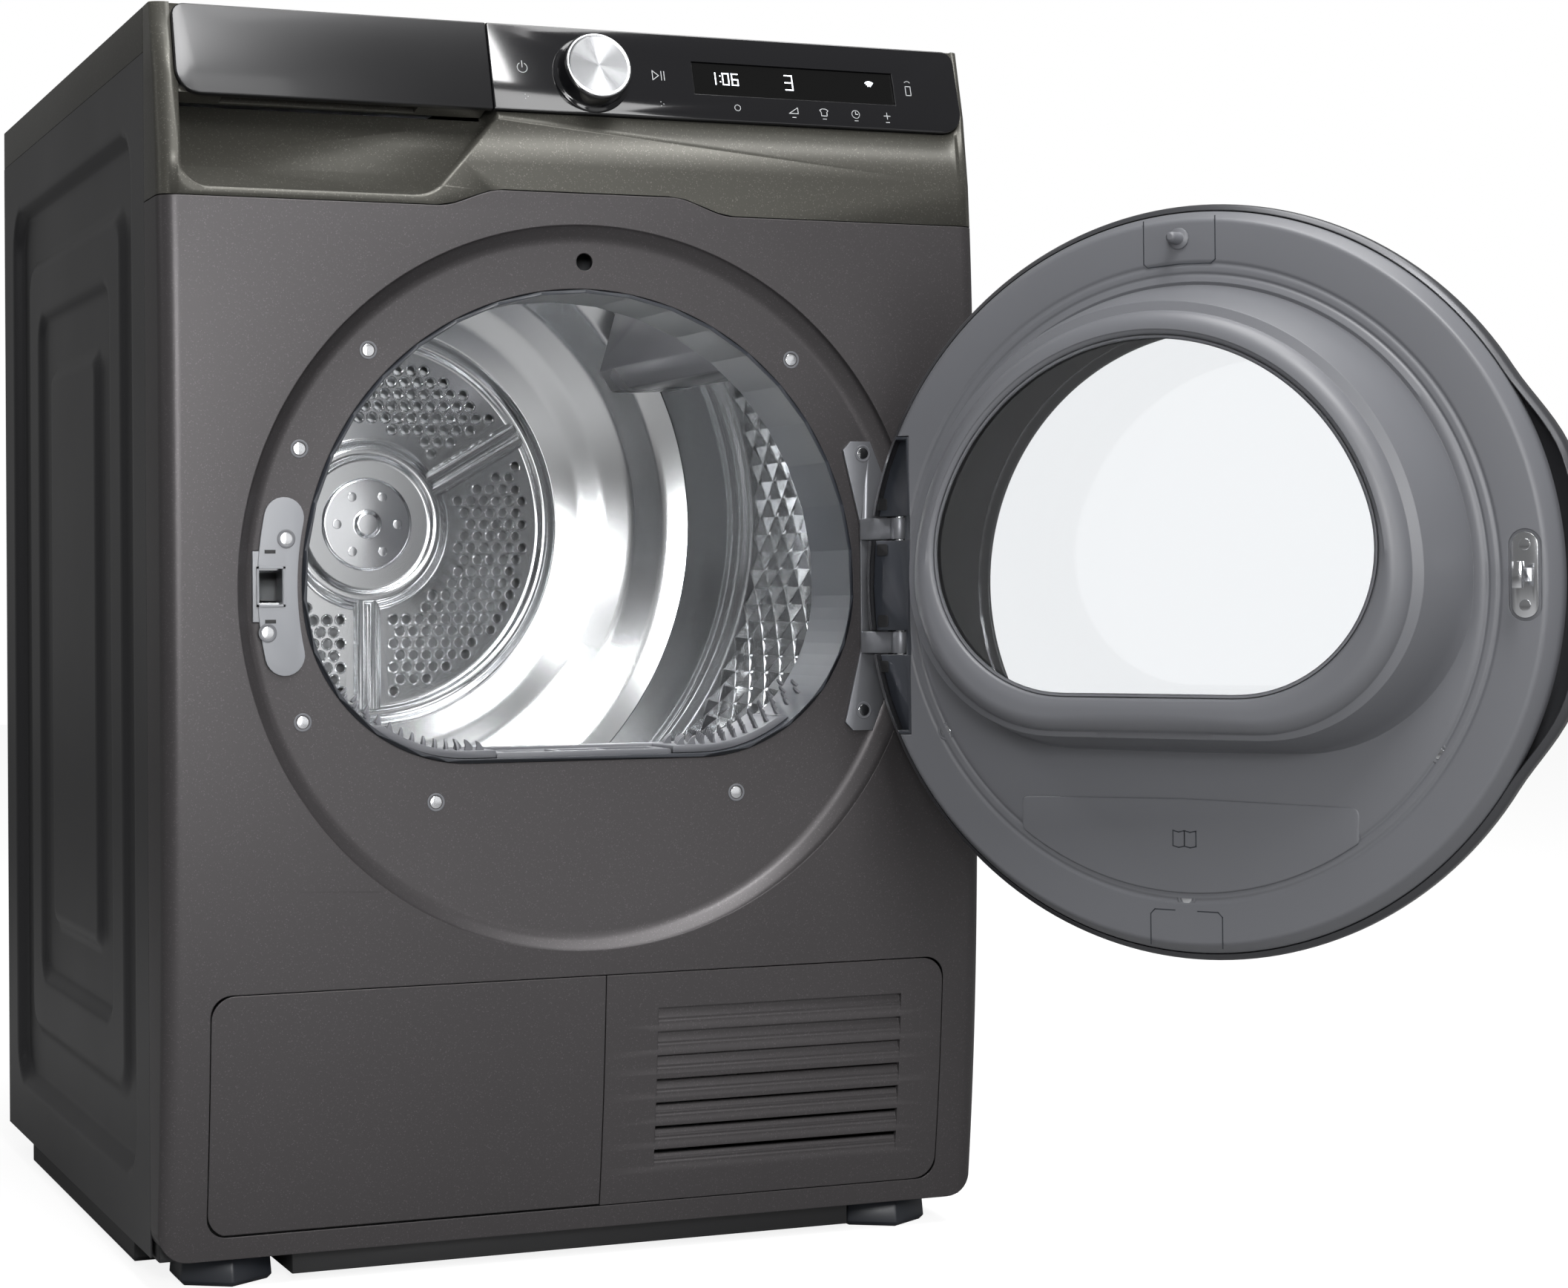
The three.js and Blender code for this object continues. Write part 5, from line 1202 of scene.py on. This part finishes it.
def makeHoleShadeAndLatchFrame():
    floor = rimY - 17.8  # the pad's floor
    # the pad's holes are not cut: thin black squares on its floor are painted shade where the holes would be
    blank = pushed(
        "hole",
        roundedBox(-holes["half"], -holes["half"], holes["half"], holes["half"], holes["corner"], 4), -0.25,
        0.25, "z",
    )
    places = [((hingeX + holes["x"], floor + 0.1, doorZ + z), (0, 1, 0), 0) for z in holes["spots"]]
    pad = setOut("hinge_pad_holes", blank, places, "blackPlastic")
    ready(pad, "door", "black_plastic", "blackPlastic")
    bpy.data.objects.remove(blank)
    y = recessFloor - 2.55
    corners = ((-10, -12.5), (8, -12.5), (8, 12.5), (-10, 12.5), (-10, -12.5))
    border = [(latchX + x, latchZ + z) for x, z in corners]
    edging = strokes("latch_frame", [border], Matrix.Identity(4), 1.4, y, 0.6)
    ready(edging, "cabinet", "pale_plastic", "palePlastic")
    # the latch slots are not cut: thin black strokes are painted shade where the slots would be
    slots = [[(latchX - 4, latchZ + z), (latchX + 1, latchZ + z)] for z in (-23, 23)]
    cuts = strokes("latch_slots", slots, Matrix.Identity(4), 2.4, y + 0.1, 0.12)
    ready(cuts, "cabinet", "black_plastic", "blackPlastic")


# ---- fins on the grille at the opening's foot ----
fins = {
    "from": 74, "to": 176, "pitch": 8.2, "rows": (-274, -262, -250, -238), "height": 6.5, "width": 6,
    "inset": 8.2,
}


def ledgeAt(x):  # top of the grille over the opening's foot
    flat, foot = openingRadius * 0.6, openingRadius * 0.42
    turn = (openingRadius**2 - flat**2 - foot**2) / (2 * (openingRadius - flat))
    over = max(abs(x) - foot, 0)
    reach = turn - fins["inset"]
    fall = math.sqrt(max(reach**2 - over**2, 0))
    slope = math.asin(min(over / reach, 1)) * (1 if x > 0 else -1)
    return openingZ - flat + turn - fall, slope


def makeFins():
    h, w = fins["height"], fins["width"] / 2
    hook = soften(
        [
            (-w, -0.6), (w, -0.6), (w * 0.7, h * 0.45), (w * 1.1, h), (w * 0.1, h * 0.72),
            (-w * 0.7, h * 0.3), (-w, -0.6),
        ],
        0.9, 3,
    )[:-1]
    fin = pushed("fin", hook, -0.8, 0.8, "y")
    places = []
    for row, y in enumerate(fins["rows"]):
        count = int((fins["to"] - fins["from"]) / fins["pitch"])
        for i in range(count):
            x = fins["from"] + (i + 0.5 * (row % 2)) * fins["pitch"]
            for way in (-1, 1):
                z, slope = ledgeAt(way * x)
                places.append(((way * x, y, z), (-math.sin(slope), 0, math.cos(slope)), 0))
    made = setOut("grille_fins", fin, places, "greyPlastic")
    bpy.data.objects.remove(fin)
    ready(made, "cabinet", "grey_plastic", "greyPlastic")


makeFins()
print("grille finned")

# ---- marks on the control panel: strokes of light print, and seven-segment digits ----
marks = {"line": 0.8, "row": 10.8, "middle": 32, "print": (0.42, 0.43, 0.44), "lit": (0.9, 0.94, 1.0)}


def strokes(name, lines, place, width, face=0.0, lift=0.14):
    points, faces = [], []
    for line in lines:
        for (x0, z0), (x1, z1) in zip(line, line[1:]):
            length = math.hypot(x1 - x0, z1 - z0) or 1
            ax, az = (x1 - x0) / length * width / 2, (z1 - z0) / length * width / 2
            ends = [
                (x0 - ax - az, z0 - az + ax), (x1 + ax - az, z1 + az + ax), (x1 + ax + az, z1 + az - ax),
                (x0 - ax + az, z0 - az - ax),
            ]
            first = len(points)
            points += [(x, face - lift, z) for x, z in ends] + [(x, face + lift, z) for x, z in ends]
            faces += [
                (first, first + 1, first + 2, first + 3), (first + 7, first + 6, first + 5, first + 4),
            ]
            for i in range(4):
                j = (i + 1) % 4
                faces.append((first + i, first + 4 + i, first + 4 + j, first + j))
    mesh = bpy.data.meshes.new(name)
    mesh.from_pydata([tuple(c * mm for c in p) for p in points], [], faces)
    made = linked(bpy.data.objects.new(name, mesh))
    mesh.transform(place)
    work = bmesh.new()
    work.from_mesh(mesh)
    bmesh.ops.recalc_face_normals(work, faces=work.faces)
    work.to_mesh(mesh)
    work.free()
    return made


def digit(number, x, z, wide, tall):
    a, b, c = (x, z + tall / 2), (x + wide, z + tall / 2), (x + wide, z)
    d, e, f = (x + wide, z - tall / 2), (x, z - tall / 2), (x, z)
    segments = {
        "top": [a, b], "upRight": [b, c], "lowRight": [c, d], "foot": [d, e], "lowLeft": [e, f],
        "upLeft": [f, a], "mid": [f, c],
    }
    shown = {
        0: ("top", "upRight", "lowRight", "foot", "lowLeft", "upLeft"),
        1: ("upRight", "lowRight"),
        3: ("top", "upRight", "mid", "lowRight", "foot"),
        6: ("top", "mid", "lowRight", "foot", "lowLeft", "upLeft"),
    }
    return [segments[name] for name in shown[number]]


def makeMarks():
    knobS = (joints["knob_turn"]["pos_m"][2] / mm - panelZ) / math.cos(panelTilt)
    left, right = -42.5, 57.5
    low, high = span("display_window")
    icons = [
        arc(left, knobS + 3, 3.6, math.radians(120), math.radians(420), 20),
        [(left, knobS + 3.4), (left, knobS + 8)],
    ]
    icons += [
        [
            (right - 4, knobS + 6.5), (right - 4, knobS - 0.5), (right + 0.6, knobS + 3),
            (right - 4, knobS + 6.5),
        ]
    ]
    icons += [[(right + x, knobS - 0.3), (right + x, knobS + 6.3)] for x in (2.6, 4.8)]
    for x in (left, right):
        icons += [
            [(x + dx, knobS - dz), (x + dx + 0.1, knobS - dz)]
            for dx, dz in ((0, 17), (0, 20), (2, 18.5))
        ]
    wide = high.x - low.x
    spots = [low.x + wide * share for share in (0.2, 0.477, 0.63, 0.79, 0.95)]
    row = marks["row"]
    icons += [arc(spots[0], row, 2.2, 0, 2 * math.pi, 16)]
    icons += [
        [
            (spots[1] - 3.4, row - 2), (spots[1] + 3.4, row - 2), (spots[1] + 3.4, row + 2.6),
            (spots[1] - 3.4, row - 2),
        ]
    ]
    shirt = [
        (-3.2, 1.6), (-1.2, 2.8), (1.2, 2.8), (3.2, 1.6), (2.2, 0.2), (2.2, -2.6), (-2.2, -2.6),
        (-2.2, 0.2), (-3.2, 1.6),
    ]
    icons += [[(spots[2] + x, row + z) for x, z in shirt]]
    icons += [
        arc(spots[3], row, 3, 0, 2 * math.pi, 20),
        [(spots[3], row + 1.9), (spots[3], row), (spots[3] + 1.6, row)],
    ]
    icons += [
        [(spots[4] - 2.4, row), (spots[4] + 2.4, row)], [(spots[4], row - 2.4), (spots[4], row + 2.4)],
    ]
    for x in spots[1:]:
        icons += [[(x - 1.3, row - 5), (x + 1.3, row - 5)]]
    phone, middle = high.x + 12, marks["middle"]
    icons += [[(phone + x, middle + z) for x, z in ((-2, -4), (2, -4), (2, 3), (-2, 3), (-2, -4))]]
    icons += [arc(phone, middle + 4.4, 2.6, math.radians(40), math.radians(140), 8)]
    printed = strokes("panel_icons", icons, panelPlace, marks["line"] * 0.6, -panels["proud"])
    ready(printed, "cabinet", "white_plastic", "panelPrint")
    lit = digit(3, low.x + 71, middle + 1, 5.5, 11)
    for i, number in enumerate((1, 0, 6)):
        lit += digit(number, low.x + 13 + i * 7 + (3 if i else 0), middle + 1, 4.4, 8.5)
    lit += [[(low.x + 21, middle + z), (low.x + 21.1, middle + z)] for z in (-1.2, 3.2)]
    for k in (1, 2, 3):
        lit += [arc(high.x - 18, middle + 1, 1.5 * k, math.radians(50), math.radians(130), 8)]
    glow = strokes("display_digits", lit, panelPlace, marks["line"], 0.1)
    ready(glow, "cabinet", "white_plastic", "panelLight")


finishes["panelPrint"] = newFinish(
    "panelPrint", {"color": marks["print"], "roughness": 0.6, "grain": 0, "edge": 0},
)
finishes["panelLight"] = newFinish(
    "panelLight", {"color": marks["lit"], "roughness": 0.6, "grain": 0, "edge": 0, "glow": 1.6},
)
makeMarks()
print("panel marked")

# ---- trims on the door's inner face ----
trims = {"reach": 202, "half": 117, "head": 322, "raise": 1.7, "seam": 0.7}


def makeDoorTrims():
    spread = math.asin(trims["half"] / trims["reach"])
    foot = arc(0, doorZ, trims["reach"], -math.pi / 2 - spread, -math.pi / 2 + spread, 48)
    half, head = trims["half"], trims["head"]
    shape = soften(foot + [(half + 1, head - 2), (0, head), (-half - 1, head - 2), foot[0]], 6)[:-1]
    pad = pushed("door_note_panel", shape, rimY - 0.6, rimY + trims["raise"])
    softenEdges(pad, 1.1, angle=50)
    ready(pad, "door", "grey_plastic", "greyPlastic")
    book = [
        [(s * x, 296 + z) for x, z in ((0, -5), (4, -6), (8, -5), (8, 5), (4, 4), (0, 5), (0, -5))]
        for s in (-1, 1)
    ]
    seams = [[(s * 25, 699), (s * 25, 671), (s * 22, 668.5), (0, 669.5)] for s in (-1, 1)]
    seams += [[(s * 25, 226), (s * 25, 246), (s * 22, 249), (s * 8, 249)] for s in (-1, 1)]
    made = strokes("door_seams", seams, Matrix.Identity(4), trims["seam"], rimY, 0.12)
    ready(made, "door", "dark_plastic", "darkPlastic")
    icon = strokes("door_book_icon", book, Matrix.Identity(4), trims["seam"], rimY + trims["raise"], 0.15)
    ready(icon, "door", "dark_plastic", "darkPlastic")


makeDoorTrims()
makeHoleShadeAndLatchFrame()
print("door trimmed")

# ---- the rest keeps its CAD shape, with its edges rounded ----
rounded = {
    "top_cover": 1.4,
    "base_tray": 0.8,
    "latch_receiver": 0.5,
    "hinge_bracket": 0.5,
    "door_hinge_block": 0.6,
    "door_striker": 0.4,
    "door_locating_pin": 0.3,
    "filter_grille": 0.3,
    "lint_filter": 0.4,
    **{f"drum_lifter_{i}": 2.5 for i in (1, 2, 3)},
    **{f"foot_{end}_{side}": 1.2 for end in ("front", "rear") for side in ("left", "right")},
}
for nodeName, width in rounded.items():
    softCopy(nodeName, width, finishName="lifterSteel" if "lifter" in nodeName else None)
for nodeName in ("opening_collar", "fascia", "drum_hub"):
    softCopy(nodeName, 0)
print("edges rounded")

# ---- floor and light ----
studio = {"floor": (0.3, 0.3, 0.3), "glow": 0.86, "sky": 1.0, "fill": 0.2, "skyColor": (1, 1, 1)}


def makeFloor():
    floor = meshObject(
        "floor", [(-9000, -9000, 0), (9000, -9000, 0), (9000, 9000, 0), (-9000, 9000, 0)], [(0, 1, 2, 3)],
    )
    floorFinish = newFinish(
        "floorPaper", {"color": studio["floor"], "roughness": 0.9, "grain": 0.05, "shade": 0.01, "edge": 0},
    )
    shader = floorFinish.node_tree.nodes["Principled BSDF"]
    shader.inputs["Emission Color"].default_value = (1, 1, 1, 1)
    seen = floorFinish.node_tree.nodes.new("ShaderNodeLightPath")
    strength = floorFinish.node_tree.nodes.new("ShaderNodeMath")  # white to the eye, dim to the machine
    strength.operation = "MULTIPLY"
    strength.inputs[1].default_value = studio["glow"]
    floorFinish.node_tree.links.new(seen.outputs["Is Camera Ray"], strength.inputs[0])
    floorFinish.node_tree.links.new(strength.outputs["Value"], shader.inputs["Emission Strength"])
    floor.data.materials.append(floorFinish)
    world = bpy.data.worlds.new("studio")
    world.use_nodes = True
    add, link = world.node_tree.nodes.new, world.node_tree.links.new
    background = world.node_tree.nodes["Background"]
    background.inputs["Color"].default_value = (*studio["skyColor"], 1)
    seen = add("ShaderNodeLightPath")
    strength = add("ShaderNodeMapRange")
    strength.inputs["To Min"].default_value = studio["fill"]
    strength.inputs["To Max"].default_value = studio["sky"]
    clear = add("ShaderNodeMath")  # straight at the sky, or through the door's window
    clear.operation = "MAXIMUM"
    link(seen.outputs["Is Camera Ray"], clear.inputs[0])
    link(seen.outputs["Is Transmission Ray"], clear.inputs[1])
    link(clear.outputs["Value"], strength.inputs["Value"])
    link(strength.outputs["Result"], background.inputs["Strength"])
    bpy.context.scene.world = world


softboxes = [
    {
        "name": "leftEdge", "place": (0.2, -3.3, 0.75), "aim": (-0.28, -0.3, 0.5), "size": (0.45, 1.3),
        "power": 11,
    },
    {
        "name": "frontHigh", "place": (0.5, -3.1, 2.2), "aim": (-0.1, -0.3, 0.7), "size": (0.7, 0.7),
        "power": 10,
    },
    {"name": "frontWall", "place": (1.25, -3.2, 0.6), "aim": (0, 0.2, 0.5), "size": (1.2, 1.6), "power": 5},
    {
        "name": "panelSheen", "place": (-0.12, -2.1, 2.75), "aim": (-0.25, -0.28, 0.82), "size": (0.7, 1.1),
        "power": 60,
    },
    {
        "name": "topFill", "place": (0.6, -0.6, 2.9), "aim": (0.35, -0.3, 0.6), "size": (1.8, 1.4),
        "power": 52,
    },
    {"name": "sideSoft", "place": (-2.8, 0.2, 1.8), "aim": (-0.3, 0, 0.4), "size": (0.6, 1.4), "power": 4},
    {
        "name": "doorFill", "place": (-0.7, -2.7, 1.2), "aim": (0.5, -0.7, 0.5), "size": (0.6, 0.6),
        "power": 9,
    },
    {
        "name": "drumLight", "place": (-0.62, -1.9, 0.75), "aim": (0.02, 0.2, 0.5), "size": (0.3, 0.3),
        "power": 10,
    },
    {
        "name": "drumLamp", "place": (-0.03, -0.17, 0.735), "aim": (0.12, 0.06, 0.42), "size": (0.14, 0.05),
        "power": 3,
    },
]


def makeLights():
    for box in softboxes:
        data = bpy.data.lights.new(box["name"], "AREA")
        data.shape = "RECTANGLE"
        data.size, data.size_y = box["size"]
        data.energy = box["power"]
        light = linked(bpy.data.objects.new(box["name"], data))
        light.location = box["place"]
        light.rotation_euler = (
            Vector(box["aim"]) - Vector(box["place"])
        ).to_track_quat("-Z", "Y").to_euler()


makeFloor()
makeLights()
bpy.context.scene.view_settings.view_transform = "Standard"
print("studio lit")
